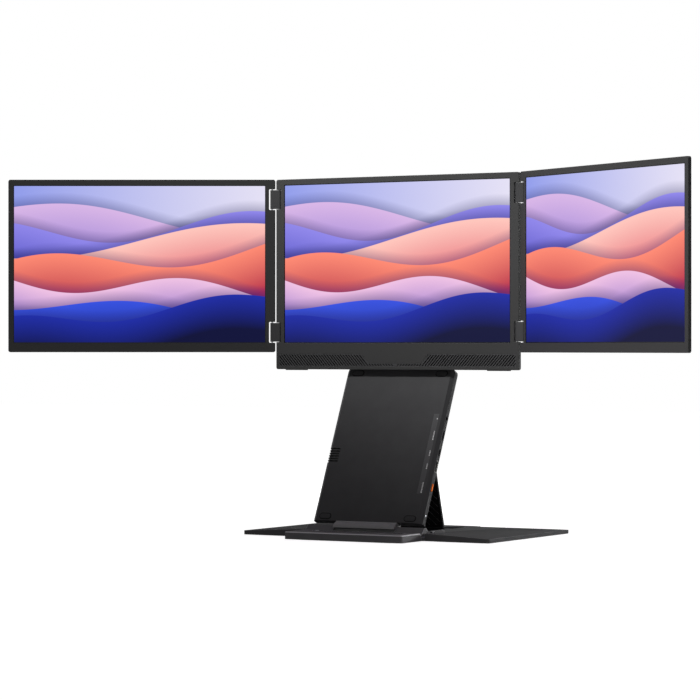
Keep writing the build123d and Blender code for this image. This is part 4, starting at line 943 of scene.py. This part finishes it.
# ======== studio ========
class EXTENDER_OT_stage(bpy.types.Operator):
    """Sets up the floor, the soft lights, the surround and the camera"""

    bl_idname = "extender.stage"
    bl_label = "Stage"

    def execute(self, context):
        """Builds the studio round the extender."""
        scene = context.scene
        studio = scene.extender_studio
        self.add_surround(scene, studio.surround)
        self.add_floor(scene)
        screens = Vector((0.12, 0, 0.345))
        foot = Vector((0.15, 0, 0))
        self.add_lamp(
            scene, "key_light", studio.key_power,
            place=(-0.9, -1.7, 1.6), aim=screens, size=(2.6, 0.15), spread=14.5,
        )
        self.add_lamp(
            scene, "side_light", studio.side_power,
            place=(1.5, 1.2, 0.25), aim=foot, size=(0.5, 0.45), spread=15,
        )
        self.add_lamp(
            scene, "back_light", studio.back_power,
            place=(0.3, 2.5, 0.9), aim=screens, size=(1.8, 1.2), spread=120,
        )
        self.add_camera(scene)
        scene.view_settings.view_transform = "Standard"
        return {"FINISHED"}

    def background_rays(self, tree):
        """1 on rays that show the background, directly, in gloss or through glass, and else 0."""
        path = add_node(tree, "ShaderNodeLightPath")
        either = add_node(
            tree, "ShaderNodeMath",
            {0: path.outputs["Is Camera Ray"], 1: path.outputs["Is Glossy Ray"]},
            operation="MAXIMUM",
        )
        return add_node(
            tree, "ShaderNodeMath",
            {0: either.outputs[0], 1: path.outputs["Is Transmission Ray"]},
            operation="MAXIMUM",
        ).outputs[0]

    def add_surround(self, scene, level):
        """White surround that lights the extender evenly at a lower level."""
        world = bpy.data.worlds.new("studio_surround")
        world.use_nodes = True
        tree = world.node_tree
        tree.nodes.clear()
        white = opaque(linear("#ffffff"))
        dim = add_node(tree, "ShaderNodeBackground", {"Color": white, "Strength": level})
        bright = add_node(tree, "ShaderNodeBackground", {"Color": white, "Strength": 1.0})
        mixed = add_node(
            tree, "ShaderNodeMixShader",
            {
                0: self.background_rays(tree), 1: dim.outputs["Background"],
                2: bright.outputs["Background"],
            },
        )
        add_node(tree, "ShaderNodeOutputWorld", {"Surface": mixed.outputs["Shader"]})
        scene.world = world

    def add_floor(self, scene):
        """Pale painted floor that keeps a soft shadow under the base."""
        reach = 6.0
        corners = ((-reach, -reach), (reach, -reach), (reach, reach), (-reach, reach))
        mesh_data = bmesh.new()
        mesh_data.faces.new([mesh_data.verts.new((x, y, 0)) for x, y in corners])
        mesh = bpy.data.meshes.new("studio_floor")
        mesh_data.to_mesh(mesh)
        mesh_data.free()
        floor = bpy.data.objects.new("studio_floor", mesh)
        scene.collection.objects.link(floor)
        material, tree = new_material("pale_painted_floor")
        white = opaque(linear("#ffffff"))
        paint = add_node(tree, "ShaderNodeBsdfDiffuse", {"Color": opaque(linear("#d8d8d8"))})
        glow = add_node(tree, "ShaderNodeEmission", {"Color": white, "Strength": 0.86})
        both = add_node(
            tree, "ShaderNodeAddShader", {0: paint.outputs["BSDF"], 1: glow.outputs["Emission"]}
        )
        mixed = add_node(
            tree, "ShaderNodeMixShader",
            {0: self.background_rays(tree), 1: paint.outputs["BSDF"], 2: both.outputs["Shader"]},
        )
        floor.data.materials.append(close_material(material, mixed.outputs["Shader"]))

    def add_lamp(self, scene, name, power, place, aim, size, spread):
        """A soft light that faces the aim, with its width and height and its beam's full angle."""
        data = bpy.data.lights.new(name, "AREA")
        data.shape = "RECTANGLE"
        data.size, data.size_y = size
        data.spread = math.radians(spread)
        data.energy = power
        lamp = bpy.data.objects.new(name, data)
        lamp.location = place
        lamp.rotation_euler = (aim - Vector(place)).to_track_quat("-Z", "Y").to_euler()
        scene.collection.objects.link(lamp)

    def add_camera(self, scene):
        """A long lens, level, from the front right at the height of the centre screen's chin."""
        data = bpy.data.cameras.new("camera")
        data.lens = 150.88
        data.sensor_width = 36.0
        data.shift_y = -0.0051
        data.clip_end = 50.0
        camera = bpy.data.objects.new("camera", data)
        camera.location = (1.6663, -2.9954, 0.2209)
        camera.rotation_euler = (math.radians(90), 0, math.radians(30))
        scene.collection.objects.link(camera)
        scene.camera = camera


class EXTENDER_PT_panel(bpy.types.Panel):
    """Lists the extender's pieces and their settings"""

    bl_label = "Screen Extender"
    bl_idname = "EXTENDER_PT_panel"
    bl_space_type = "VIEW_3D"
    bl_region_type = "UI"
    bl_category = "Extender"

    def draw(self, context):
        """Draws a button for each operator and a field for each setting."""
        for operator in OPERATORS:
            self.layout.operator(operator.bl_idname)
        for settings in SETTINGS:
            group = getattr(context.scene, settings)
            for name in group.bl_rna.properties.keys():
                if name not in {"rna_type", "name"}:
                    self.layout.prop(group, name)


SETTINGS = {
    "extender_sizes": ExtenderSizes,
    "extender_colours": ExtenderColours,
    "extender_studio": ExtenderStudio,
}
OPERATORS = (
    EXTENDER_OT_screens,
    EXTENDER_OT_hinges,
    EXTENDER_OT_column,
    EXTENDER_OT_base,
    EXTENDER_OT_stage,
)


def register():
    """Registers the settings, the operators and the panel."""
    for name, group in SETTINGS.items():
        bpy.utils.register_class(group)
        setattr(bpy.types.Scene, name, bpy.props.PointerProperty(type=group))
    for operator in OPERATORS:
        bpy.utils.register_class(operator)
    bpy.utils.register_class(EXTENDER_PT_panel)


def unregister():
    """Takes everything away that register added."""
    bpy.utils.unregister_class(EXTENDER_PT_panel)
    for operator in reversed(OPERATORS):
        bpy.utils.unregister_class(operator)
    for name, group in SETTINGS.items():
        delattr(bpy.types.Scene, name)
        bpy.utils.unregister_class(group)


def main():
    """Builds everything."""
    register()
    bpy.ops.extender.screens()
    bpy.ops.extender.hinges()
    bpy.ops.extender.column()
    bpy.ops.extender.base()
    bpy.ops.extender.stage()


if __name__ == "__main__":
    main()
